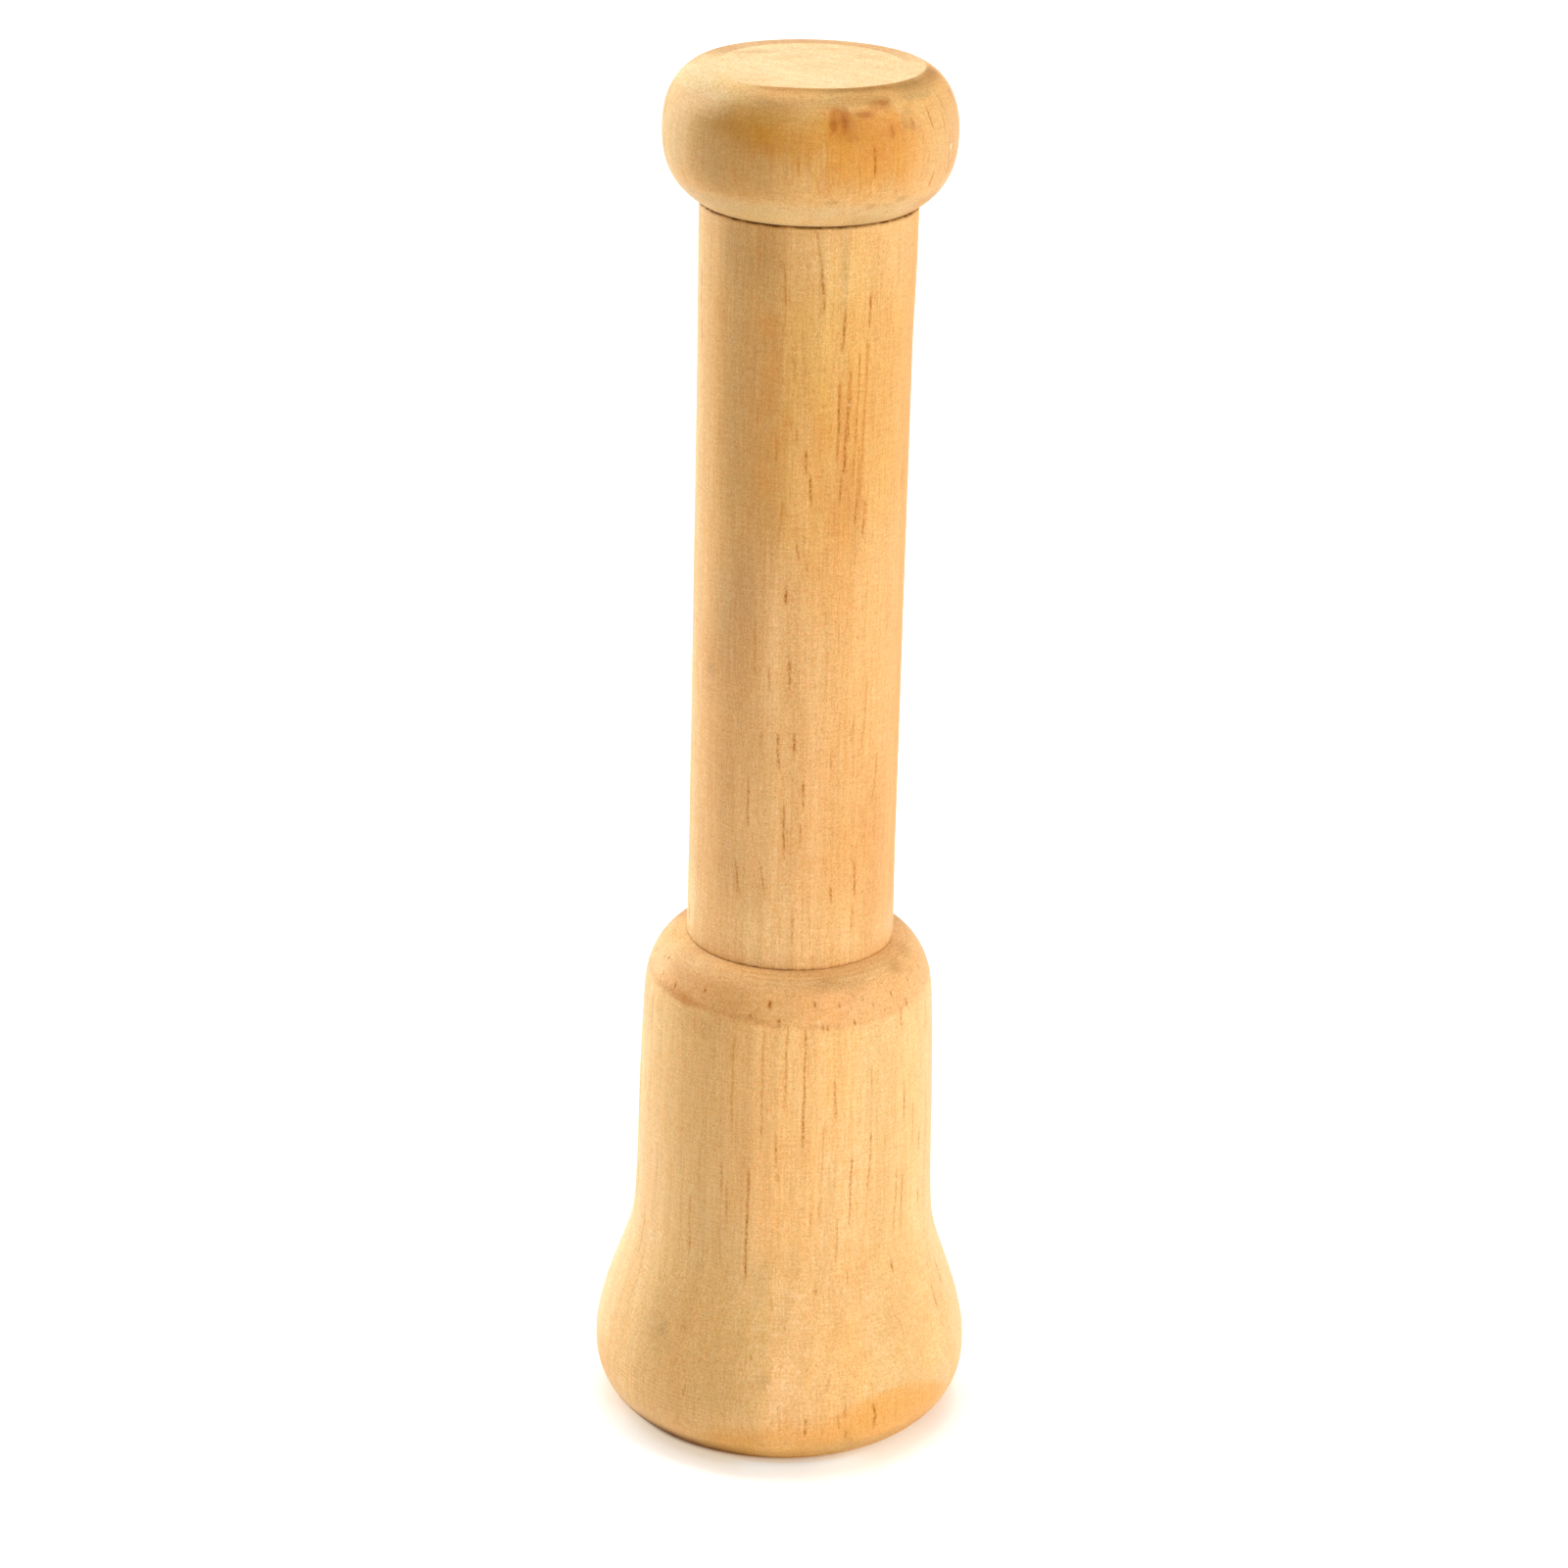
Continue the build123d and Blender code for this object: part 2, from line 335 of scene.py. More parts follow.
HEAD_DASHES = [
    (-20.8, -20.9, 54.5, 69, 0.45), (-8.9, -9.2, 52.2, 71.2, 0.45), (-0.2, 0.1, 60.2, 70.7, 0.5),
    (6.9, 7.3, 51.6, 70.3, 0.65), (7.1, 6.9, 53.6, 55.6, 0.7), (-3, -3.2, 49.1, 54, 0.6),
    (-3, -2.4, 46.6, 47.5, 0.95), (19.7, 19.2, 56.2, 62.3, 0.65), (35.2, 35.2, 53.8, 62.9, 0.4),
    (34.2, 35.4, 43.5, 52.9, 0.6), (51.1, 51.3, 67.7, 70.4, 0.55), (53.1, 52.9, 52.8, 58.4, 0.6),
    (59.5, 59.1, 48.1, 54.9, 0.5), (26.3, 26.8, 39, 49.8, 0.65), (-37.3, -37.9, 33.3, 41.6, 0.6),
    (-21.8, -21.7, 39.2, 44.6, 0.5), (-13.6, -13.3, 30.9, 47.7, 0.65), (-13.3, -13.7, 30.9, 40.8, 0.7),
    (-33.8, -34.1, 43, 49.7, 0.2), (-24.1, -24.1, 44, 48.2, 0.5), (10.7, 11, 37.6, 41.8, 0.4),
    (47.8, 49.4, 36, 45.6, 0.5), (51.8, 52.8, 35.1, 44.2, 0.6), (21.1, 21.5, 33.4, 40.2, 0.5),
    (46.3, 45.7, 29.3, 31.3, 1), (25.3, 25.7, 30, 31.8, 0.5), (12.8, 13.3, 28.9, 29.6, 0.95),
    (-0.1, -0.2, 58.4, 63.7, 0.5), (-23.4, -24.8, 32.3, 38.4, 0.3), (-20.5, -20.1, 29.3, 32.5, 0.2),
    (13.8, 14.5, 39.5, 43.4, 0.5), (14.3, 15.2, 42.6, 55.1, 0.35), (33.9, 33.9, 38.2, 42.9, 0.4),
    (50.9, 52.1, 25.8, 29.1, 0.1), (32.8, 29.8, 23.6, 26.4, 0.1), (-8.8, -9, 19.5, 20.3, 0.75),
    (1.6, 1.9, 23.5, 24.2, 0.8), (-4.5, -3.9, 15.1, 16.1, 0.5), (-30.3, -29.4, 12.5, 13.7, 0.7),
    (15.6, 15.9, 15, 16.5, 0.5), (15.7, 16.4, 16, 17.1, 0.4), (11.6, 12.4, 13.3, 15.5, 0.3),
    (-13.7, -13.5, 22.5, 23.3, 0.4), (-6.2, -5.3, 21, 22.1, 0.25), (-2.9, -3, 26.8, 27.9, 0.5),
    (8.6, 8.6, 8, 10.9, 1), (31.1, 30.3, 10.1, 11.7, 0.85), (31, 31.4, 7.6, 10, 0.85),
    (19, 18.6, 8.8, 11, 0.5), (20.7, 21.1, 11, 12.6, 0.55), (21.7, 21.8, 6.8, 7.7, 0.7),
    (38.9, 39.4, 18.7, 19.9, 0.1), (44.9, 45.1, 18.4, 21.5, 0.15), (60, 58.9, 18.3, 19.6, 0.35),
    (65.3, 63.4, 13.4, 16.1, 0.35), (0, 0.1, 11.9, 13, 0.3),
]


def stray_dashes(rng, count, low, high):
    """Dashes of the same kind for the sides and back, in loose bundles, and
    fainter hairlines all round."""

    def dash(angle, length, middle, lean, strength):
        bottom, top = max(low, middle - length / 2), min(high, middle + length / 2)
        return angle - lean, angle + lean, bottom, top, strength

    out = []
    bundles = rng.uniform(0, 360, 9)
    while len(out) < count:
        loose = rng.random() < 0.55
        angle = rng.uniform(0, 360) if loose else rng.choice(bundles) + rng.normal(0, 6)
        angle = (angle + 180) % 360 - 180
        length = min(16.0, rng.lognormal(1.25, 0.62))
        middle = rng.uniform(low, high)
        strength = rng.uniform(0.2, 0.75) ** 1.2
        if abs(angle) >= 64:
            lean = rng.normal(0, 0.03) * length
            out.append(dash(angle, length, middle, lean, strength))
    for _ in range(int(count * 1.6)):
        angle = rng.uniform(-180, 180)
        length = min(12.0, rng.lognormal(1.1, 0.6))
        middle = rng.uniform(low, high)
        lean = rng.normal(0, 0.03) * length
        out.append(dash(angle, length, middle, lean, rng.uniform(0.04, 0.15)))
    return out


def pore_field(rng, dashes, theta, rows, peak):
    """Pore strength at every (radius, z) row and theta column."""
    radius, z = rows.T
    field = np.zeros((len(z), len(theta)))
    for angle0, angle1, low, high, strength in dashes:
        crossed = np.where((z > low - 0.5) & (z < high + 0.5))[0]
        if len(crossed) == 0:
            crossed = [np.argmin(np.abs(z - (low + high) / 2))]
        phase = rng.uniform(0, 6.28, 3)
        length = max(high - low, 0.6)
        width = 0.17 * rng.uniform(0.9, 1.15) * (0.72 + 0.8 * strength)
        for k in crossed:
            part = (z[k] - low) / length
            ends = min(part, 1 - part) * length / min(0.9, length * 0.35)
            ends = np.clip(ends + 0.55, 0, 1)
            bead = math.sin(z[k] * 4.1 + phase[0]) * math.sin(z[k] * 1.7 + phase[1])
            bead = 0.86 + 0.14 * bead
            sway = 0.06 * math.sin(z[k] * 0.9 + phase[2]) * min(1.0, length / 4)
            centre = math.radians(angle0 + (angle1 - angle0) * part) + sway / radius[k]
            away = np.abs(wrap(theta - centre)) * radius[k]
            near = np.where(away < 2 * width)[0]
            amount = peak * min(1.0, 1.3 * strength**0.85) * ends * bead
            amount = amount * np.clip(1.3 - away[near] / width, 0, 1)
            field[k, near] = np.maximum(field[k, near], amount)
    return field


# ------------------------------------------------------------------ stain and staining


class Coat:
    """Paints the tint of a piece. Colours are in percent of the stock's red, green
    and blue, angles in degrees, and an amount of 1 covers fully."""

    def __init__(self, data, theta, radius, z):
        self.tint = data[..., :3]
        self.theta, self.radius, self.z = theta, radius, z
        self.angle = np.degrees(theta)

    def tools(self):
        return (
            self.stain, self.glaze, self.marks, self.spot, self.rise, self.swing, self.within
        )

    def stain(self, colour, amount=1.0):
        """Moves the wood's colour towards the given one."""
        share = np.expand_dims(np.clip(amount, 0, 1), -1)
        self.tint += (np.array(STOCK) * np.array(colour) / 100.0 - self.tint) * share

    def glaze(self, colour, amount):
        """Multiplies the wood's colour."""
        share = np.expand_dims(np.clip(amount, 0, 1), -1)
        self.tint *= 1 + (np.array(colour) / 100.0 - 1) * share

    def spot(self, angle, height, half_w, half_h, sharp=1.0):
        """1 at the middle of an ellipse on the surface, falling smoothly to 0."""
        across = wrap(self.theta - math.radians(angle)) * self.radius / half_w
        away = across**2 + ((self.z - height) / half_h) ** 2
        return np.exp(-(away**sharp) * 0.9)

    def marks(self, colour, spots):
        """Small stains: angle, height, half width, half height, amount."""
        for *place, amount in spots:
            self.stain(colour, amount * self.spot(*place, 1.3))

    def glaze_spots(self, rows):
        """Soft glazes: colour, angle, height, half width, half height."""
        for colour, *place in rows:
            self.glaze(colour, self.spot(*place))

    def rise(self, start, end):
        """Eases from 0 to 1 between two heights."""
        return smooth(start, end, self.z)

    def swing(self, start, end):
        """Eases from 0 to 1 between two angles."""
        return smooth(start, end, self.angle)

    def within(self, start, end, soft=6.0):
        """1 between two angles, with soft sides."""
        return self.swing(start - soft, start + soft) * self.swing(end + soft, end - soft)

    def streaks(self, seed, across=0.55, along=9.0):
        """Noise that follows the fibres, -1..1."""
        rng = np.random.default_rng(seed)
        cells = max(8, int(2 * np.pi * np.max(self.radius) / across))
        fine = band_noise(rng, self.theta, self.z, cells, along)
        return 0.6 * fine + 0.4 * band_noise(rng, self.theta, self.z, cells // 4, along * 2.2)

    def back(self):
        return smooth(92, 128, np.abs(self.angle))

    def hidden_side(self, seed):
        """The back is painted darker, as painted shade against the strong back lights, most on its
        flanks, and runs in broad bands of deeper and paler wood.
        """
        back = self.back()
        broad = self.streaks(seed, 5.5, 55)
        narrow = self.streaks(seed + 1, 1.3, 22)
        self.stain((91, 84, 79), 0.88 * back)
        flanks = self.swing(-84, -118) + self.swing(158, 178)
        self.stain((84, 77, 73), 0.85 * back * flanks)
        self.stain((80, 67, 50), 0.62 * back * smooth(0.02, 0.55, broad + 0.35 * narrow))
        self.stain((93, 92, 94), 0.55 * back * smooth(0.08, 0.6, -broad - 0.3 * narrow))


def paint_handle(coat):
    stain, glaze, marks, spot, rise, swing, within = coat.tools()
    z, angle = coat.z, coat.angle
    grain = coat.streaks(501)
    broad = coat.streaks(502, 1.6, 16)
    stain((119, 110, 106))
    # honey coloured upper half, with a paler collar under the knob
    upper = rise(134, 150) * rise(187, 172)
    stain((110, 96, 62), upper * (0.92 + 0.3 * grain))
    stain((112, 107, 98), rise(172, 181) * (0.8 + 0.3 * broad))
    stain((115, 109, 88), spot(4, 171, 3.2, 6) * (0.8 + 0.3 * broad))
    stain((118, 112, 98), spot(30, 176, 2.6, 6) * (0.8 + 0.3 * broad))
    # painted core shade: darker and more olive to the left, where the light falls off, with a paler
    # painted band beyond it further left
    left = within(-47, -13, 8)
    stain((89, 80, 62), left * (upper + rise(174, 182)) * (0.85 + 0.25 * grain))
    stain((85, 80, 70), within(-50, -36, 8) * rise(138, 150) * 0.5)
    stain((116, 118, 122), within(-68, -53) * rise(138, 146) * 0.62)
    stain((98, 88, 82), left * rise(140, 124) * swing(-12, -34) * (0.62 + 0.35 * grain))
    stain((86, 77, 70), spot(-32, 135, 3.4, 9) * 0.8)
    stain((92, 80, 72), spot(-40, 124, 3, 5) * 0.7)
    stain((96, 76, 46), spot(-19, 157, 2.4, 17) * (0.42 + 0.5 * grain))
    marks((104, 76, 36), [
        (-19.5, 172, 1.9, 1.7, 0.6), (-16.5, 165.9, 1.5, 2.8, 0.5), (-13, 155.2, 0.9, 1.8, 0.6),
        (-18, 150, 1.9, 2.4, 0.5), (-8.7, 145, 0.7, 1.6, 0.4), (-24, 160, 1.2, 2.2, 0.3),
    ])
    stain((107, 86, 56), spot(6, 155, 6, 8) * (0.6 + 0.5 * grain))
    stain((104, 80, 50), spot(27, 156, 2.6, 15) * (0.62 + 0.6 * grain))
    stain((90, 68, 40), spot(29.5, 146, 1, 6.5) * (0.62 + 0.5 * grain))
    stain((96, 72, 44), spot(22.5, 152, 0.9, 7) * (0.6 + 0.5 * grain))
    # pale bands and patches; the slanting one is a painted pale band of light
    slant = -13.2 + (134 - z) * 0.095
    stain((131, 127, 134), bell(angle, slant, 4.6) * rise(140, 128) * (0.82 + 0.35 * broad))
    stain((124, 112, 92), spot(1.5, 146, 1.5, 9) * 0.85)
    stain((121, 120, 118), spot(9, 182, 1.6, 9) * 0.6)
    stain((134, 120, 124), spot(12, 92, 3.2, 22) * (0.75 + 0.4 * broad))
    # painted reflected light: paler and bluer low on the grip, lit from the head's shoulder
    stain((138, 136, 146), rise(94, 80) * within(-52, 34, 10) * 0.75)
    stain((128, 124, 128), spot(-24, 99, 3, 9) * 0.7)
    stain((108, 92, 80), spot(50, 93, 3.2, 14) * (0.7 + 0.3 * broad))
    stain((114, 98, 88), spot(31, 108, 2.4, 20) * (0.55 + 0.5 * grain))
    stain((114, 104, 97), spot(0.5, 112, 1.2, 14) * (0.6 + 0.5 * grain))
    # painted highlight: paler towards the far left, where the rim catches the light; richer towards
    # the far right
    stain((126, 132, 138), swing(-58, -76) * 0.9)
    stain((106, 88, 40), swing(60, 76) * rise(80, 88) * (0.85 + 0.15 * grain))
    stain((106, 98, 82), swing(80, 94) * (0.85 + 0.2 * broad))
    # grey streaks under the knob, a grey rub on the left
    stain((84, 84, 88), spot(20, 180, 0.45, 6) * 0.55)
    stain((80, 76, 70), spot(7.4, 180, 0.4, 6.5) * 0.5)
    stain((82, 82, 80), spot(-53, 120.5, 1.3, 1) * 0.45)
    stain((90, 86, 80), spot(-50, 117, 2, 1.2) * 0.25)
    # two pale chips
    marks((140, 170, 260), [(24.4, 161, 0.28, 0.22, 0.8), (-31.1, 147.3, 0.2, 0.16, 0.45)])
    # small corrections of tone
    glaze((106, 109, 105), within(8, 34) * rise(148, 155) * rise(187, 181) * 0.9)
    glaze((101, 97, 87), within(5, 28) * rise(127, 133) * rise(150, 146))
    glaze((99, 94, 82), within(17, 66) * bell(z, 95, 5.5))
    # painted light on the left, low on the grip
    glaze((104, 112, 121), swing(-51, -58) * swing(-112, -96) * rise(90, 84))
    low = rise(80, 86) * rise(143, 135) * (1 - 0.6 * bell(z, 95, 6))
    glaze((99, 96, 89), within(17, 70) * low)
    glaze((98, 96, 82), swing(66, 74) * swing(92, 84) * rise(80, 86))
    coat.glaze_spots([((91, 94, 92), -45, 131, 2.2, 8), ((105, 113, 119), -20, 82, 2.2, 5)])
    coat.hidden_side(531)


def paint_knob(coat, from_edge):
    """from_edge is the distance along the outline from the palm facet's edge."""
    stain, glaze, marks, spot, rise, swing, within = coat.tools()
    z, angle = coat.z, coat.angle
    grain = coat.streaks(511, 0.6, 5)
    broad = coat.streaks(512, 1.8, 4)
    cloud = coat.streaks(513, 1.2, 1.2)
    stain((106, 99, 86))
    # painted core shade: the left cheek darker and browner, with a paler painted band beyond it
    # further left
    cheek = within(-43, -12, 9) * rise(187.8, 191.5) * rise(204.2, 202.2)
    stain((81, 72, 48), cheek * (0.85 + 0.3 * grain))
    stain((76, 72, 58), within(-52, -34, 7) * rise(189, 193) * rise(203, 199.5) * 0.75)
    stain((106, 111, 112), within(-70, -54) * rise(192, 195) * 0.8)
    stain((63, 51, 21), spot(-33, 200, 3.6, 1.5) * (0.85 + 0.35 * broad))
    stain((77, 56, 14), spot(-19, 198.9, 3.6, 2.1) * (0.9 + 0.35 * broad))
    stain((95, 69, 24), spot(-8, 198, 3, 2.2) * (0.8 + 0.4 * grain))
    stain((74, 66, 50), spot(-18, 203.2, 4.4, 0.7) * (0.7 + 0.4 * broad))
    fine = smooth(0.12, 0.6, coat.streaks(514, 0.42, 3.2))
    stain((84, 74, 52), fine * within(-36, 30, 8) * rise(189.6, 192.5) * rise(202, 199) * 0.42)
    # resinous orange blotch: straight along the grain at its left, cloudy elsewhere
    side = angle + 1.6 * grain + 2.6 * cloud
    height = z + 0.8 * cloud + 0.9 * grain
    main = smooth(-1.5, 9, side + 2.2 * grain) * smooth(52, 36, side)
    main = main * smooth(190.4, 194.6, height) * smooth(203.6, 200.8, height)
    core = smooth(5, 12, side) * smooth(43, 30, side)
    core = core * smooth(193.4, 197, height) * smooth(202.2, 199.6, height)
    stain((107, 80, 33), main * 0.95)
    stain((103, 72, 24), core * (0.82 + 0.4 * cloud))
    stain((93, 61, 15), spot(25, 199.8, 4.6, 1.6) * (0.7 + 0.6 * cloud))
    # colour, amount, side: in from, in to, out from, out to, then height likewise
    for colour, amount, left0, left1, right0, right1, low0, low1, high0, high1 in (
        ((92, 60, 25), 0.8, 7, 9, 19, 16, 199.4, 200.4, 203.2, 202.4),
        ((88, 62, 30), 0.7, 24, 27, 37, 33, 202, 202.6, 204, 203.4),
    ):
        patch = smooth(left0, left1, side) * smooth(right0, right1, side)
        patch = patch * smooth(low0, low1, height) * smooth(high0, high1, height)
        stain(colour, patch * amount)
    stain((112, 90, 64), spot(46, 196.2, 2.2, 3.2) * 0.55)
    stain((104, 82, 38), spot(-1, 197.5, 2.4, 3.4) * (0.6 + 0.4 * grain))
    stain((112, 100, 84), spot(3.2, 194, 0.45, 2.4) * 0.6)
    # paler band at the neck
    stain((95, 103, 118), rise(190.9, 188.6) * (0.9 + 0.2 * broad))
    # painted light high on the left of the knob
    stain((108, 118, 138), spot(-48, 202.4, 3, 1.5) * 0.75)
    # painted shade: a brown band just below the palm facet's edge, and lighter wood under that
    width = 0.62 + 0.75 * swing(28, 52)
    rim = bell(from_edge, 0.65 * width + 0.14 * broad, width)
    stain((58, 46, 25), rim * within(4, 92, 9) * (0.92 + 0.25 * cloud))
    stain((70, 56, 30), rim * within(-30, 6, 9) * 0.8)
    stain((92, 84, 68), bell(from_edge, 2.3, 0.6) * within(-10, 46, 7) * (0.7 + 0.3 * cloud))
    # the facet's cream wood runs over its edge where that is worn soft
    stain((110, 122, 146), smooth(5, 0.6, from_edge) * within(-150, -50, 14) * 0.95)
    stain(PALM, smooth(0.04, -0.06, from_edge))
    # dark resin flecks
    marks((62, 29, 3), [
        (8.8, 201, 0.5, 0.9, 0.8), (13.6, 201.5, 0.55, 1.4, 0.85), (10.6, 202.5, 1.4, 0.6, 0.4),
        (22.3, 202.1, 1.25, 0.4, 0.8), (19, 202.2, 0.5, 0.3, 0.4), (32.2, 203.3, 1, 0.34, 0.7),
        (27.5, 203.4, 0.9, 0.26, 0.35), (32.7, 199.6, 0.42, 1, 0.5), (15, 199.6, 1.6, 0.8, 0.3),
    ])
    # grey-brown flecks
    marks((60, 53, 38), [
        (39.4, 200.5, 0.5, 0.8, 0.55), (43.2, 200.2, 0.42, 0.9, 0.6), (41.5, 201.9, 0.9, 0.4, 0.35),
        (9.3, 190.5, 0.75, 0.28, 0.5), (26.2, 189.6, 0.9, 0.28, 0.5), (34, 189.4, 0.7, 0.22, 0.35),
        (40.6, 190.2, 1.1, 0.4, 0.5), (36, 191.2, 0.4, 0.5, 0.3), (56, 203.2, 1.6, 0.4, 0.35),
        (47, 203.4, 1.3, 0.35, 0.35), (66, 201.6, 0.35, 1, 0.35),
    ])
    marks((86, 58, 26), [(-15.6, 197.6, 1, 0.7, 0.7), (-22, 196.6, 0.5, 0.7, 0.4)])
    # painted highlight: a small white glint on the right of the knob
    marks((150, 190, 300), [(68.7, 195.7, 0.24, 0.4, 0.9)])
    # painted highlight along the top of the far left
    stain((112, 116, 122), swing(-58, -76) * rise(204, 203) * 0.85)
    marks((120, 118, 118), [(16, 190.6, 0.35, 1.3, 0.5), (-2, 193, 0.4, 2, 0.35)])
    # small corrections of tone
    out = smooth(0, 0.3, from_edge)
    far_right = rise(190.4, 188.9)
    # painted light high on the left, just below the facet
    glaze((101, 115, 136), out * within(-95, -24, 8) * rise(202.2, 203.2))
    glaze((84, 86, 80), out * within(4, 35) * rise(202.5, 203.4))
    glaze((91, 90, 83), within(-50, -14) * rise(190.4, 189))
    glaze((95, 87, 74), within(52, 88) * far_right)
    # painted highlight along the far left rim
    left = swing(-65, -73) * swing(-110, -95)
    glaze((101, 110, 110), left * rise(190, 194) * rise(204.2, 203.4))
    glaze((93, 94, 90), within(-20, 6) * rise(200.6, 201.6) * rise(204, 203.6))
    glaze((90, 97, 104), out * within(42, 68) * rise(202.8, 203.3))
    glaze((97, 91, 79), within(50, 90) * far_right)
    glaze((91, 94, 93), within(16, 36) * rise(188.3, 187.4))
    coat.glaze_spots([
        ((101, 108, 124), 45, 201.8, 2.2, 1.1), ((94, 90, 70), 14, 201.4, 2.8, 1),
        ((100, 105, 119), 45, 194, 1.7, 1.6), ((98, 102, 112), -60, 196, 2.6, 6),
        ((95, 99, 112), -38, 201.6, 3, 1.2), ((95, 92, 76), 15, 201.5, 3, 1),
        ((98, 92, 80), 0, 199, 1.8, 1.6),
    ])
    coat.hidden_side(541)


# grey rubs on the palm facet: x, y, turn, half length, half width, amount
PALM_RUBS = (
    (-7.6, 6.4, 0.35, 3.6, 1.2, 0.55), (-2.6, 3.6, 0.5, 4.5, 1.4, 0.30),
    (-10.4, 2.0, 0.9, 2.6, 1.3, 0.25), (0.5, -1.5, 0.3, 5.5, 1.6, 0.18),
    (7.0, 4.5, 0.35, 3.4, 1.0, 0.2), (9.0, -2.0, 0.2, 4.0, 1.5, 0.16),
    (1.0, 9.0, 0.1, 5.0, 1.2, 0.2), (4.0, -7.5, 0.15, 4.6, 1.1, 0.14),
)


def palm_data(radius, count):
    """One ring of the sanded palm facet: cream end grain with faint grey rubs."""
    theta = columns(count)
    data = plain_data(count)
    data[:, TURN] = radius - PALM_RADIUS
    coat = Coat(data, theta, radius, Z_TOP)
    coat.stain(PALM)
    x, y = radius * np.sin(theta), -radius * np.cos(theta)
    for mid_x, mid_y, turn, half_l, half_w, amount in PALM_RUBS:
        along = (x - mid_x) * math.cos(turn) + (y - mid_y) * math.sin(turn)
        across = -(x - mid_x) * math.sin(turn) + (y - mid_y) * math.cos(turn)
        rub = np.exp(-((along / half_l) ** 2) - (across / half_w) ** 2)
        coat.stain((80, 80, 74), 1.2 * amount * rub)
    return data


def paint_head(coat):
    stain, glaze, marks, spot, rise, swing, within = coat.tools()
    z, angle = coat.z, coat.angle
    grain = coat.streaks(521)
    broad = coat.streaks(522, 2, 15)
    cloud = coat.streaks(523, 1.4, 1.6)
    stain((122, 124, 128))
    # painted core shade on the left; further on, painted highlights near both rims, beyond -53 and at
    # 53..68
    stain((110, 107, 103), within(-47, -17, 9) * (0.85 + 0.3 * grain))
    stain((117, 105, 93), within(-24, -12, 5) * rise(36, 44) * (0.7 + 0.4 * grain))
    stain((128, 119, 121), swing(-60, -78) * 0.2)
    stain((138, 127, 121), within(-12, 28, 5) * rise(31, 37) * (0.88 + 0.3 * broad))
    stain((136, 126, 120), within(-3, 30, 4) * rise(37, 31) * (0.88 + 0.3 * broad))
    stain((134, 142, 162), swing(-56, -74) * rise(10, 14) * 0.9)
    stain((136, 135, 150), within(14, 36, 4) * rise(60, 50) * rise(22, 28) * 0.75)
    stain((124, 132, 142), within(-68, -53) * rise(12, 18) * rise(70, 66) * 0.6)
    stain((136, 133, 138), within(53, 68, 5) * rise(10, 14) * rise(70, 64) * 0.5)
    # painted pale band of light where the flare starts, hard on its left
    stripe = smooth(-5.2, -0.4, angle + 0.8 * grain) * swing(24, 1) * rise(9.5, 13) * rise(33, 27)
    stain((141, 140, 160), stripe * (0.88 + 0.2 * broad))
    stain((104, 100, 92), within(-27, -10, 5) * rise(29, 21) * rise(9, 13) * 0.7)
    marks((76, 76, 74), [
        (-41.9, 20.5, 1.1, 1, 0.4), (-38, 18.6, 0.8, 0.9, 0.25),
        (-33, 22, 0.9, 1.2, 0.2), (-4.5, 16.6, 1.1, 0.7, 0.3),
    ])
    # deeper orange heartwood across the foot on the right, under a slanting edge
    top = np.interp(
        angle,
        (-30, -8, 3, 12, 27, 36, 47, 56, 66, 80, 120),
        (6.2, 7.6, 8.6, 10.4, 12.7, 13.5, 13.0, 11.1, 8.2, 7.0, 6.5),
    )
    top = top + 0.30 * cloud
    foot = smooth(top + 0.3, top - 0.5, z) * (0.62 + 0.38 * smooth(0.5, 3.5, top - z))
    right = swing(6, 22) * swing(92, 70)
    stain((127, 100, 60), foot * right * 0.95)
    stain((126, 96, 50), foot * right * smooth(5.5, 2, top - z) * within(27, 62) * 0.7)
    stain((102, 84, 42), smooth(9.8, 5.6, z + 0.6 * broad) * within(-24, -3, 7) * 0.9)
    stain((112, 100, 66), smooth(9, 5, z + 0.6 * broad) * within(-3, 26, 7) * 0.8)
    stain((100, 88, 66), rise(6.8, 4.6) * right * 0.8)
    # painted contact shadow low on the foot, next to the floor, darkest on the left
    stain((70, 58, 38), rise(2.6, 1) * 0.7)
    stain((48, 35, 15), rise(6, 3) * within(-70, -12, 10) * 0.95)
    glaze((82, 81, 79), rise(5.6, 3.6) * within(-66, 12, 9))
    glaze((96, 105, 124), rise(6, 4.4) * within(14, 38, 7))
    glaze((92, 93, 94), rise(8.8, 6.2) * within(-76, -42, 8))
    glaze((84, 80, 72), rise(5.8, 4.3) * within(-54, -37, 7))
    stain((20, 10, 2), rise(4.9, 3.4) * within(-58, -28, 9))
    stain((20, 10, 2), rise(3.9, 2.3) * within(-42, -8, 12) * 0.95)
    stain((34, 21, 7), rise(3.4, 1.9) * within(-16, 20, 12) * 0.55)
    stain((34, 21, 7), rise(2, 1) * within(-16, 24, 12) * 0.6)
    # end grain of the shoulder, darker and more orange, with a ragged lower edge
    edge = 70.7 + 0.42 * cloud + 0.35 * broad + 0.5 * swing(-5, -30) - 0.5 * within(8, 60, 8)
    shoulder = smooth(edge - 0.35, edge + 0.45, z)
    stain((118, 106, 102), shoulder)
    stain((104, 92, 86), shoulder * within(-62, -14, 8))
    stain((130, 112, 110), shoulder * within(4, 26, 7) * rise(75.6, 74))
    stain((114, 110, 114), rise(74.6, 76.2))
    stain((114, 114, 128), rise(75.2, 76.4) * within(-75, -38, 9))
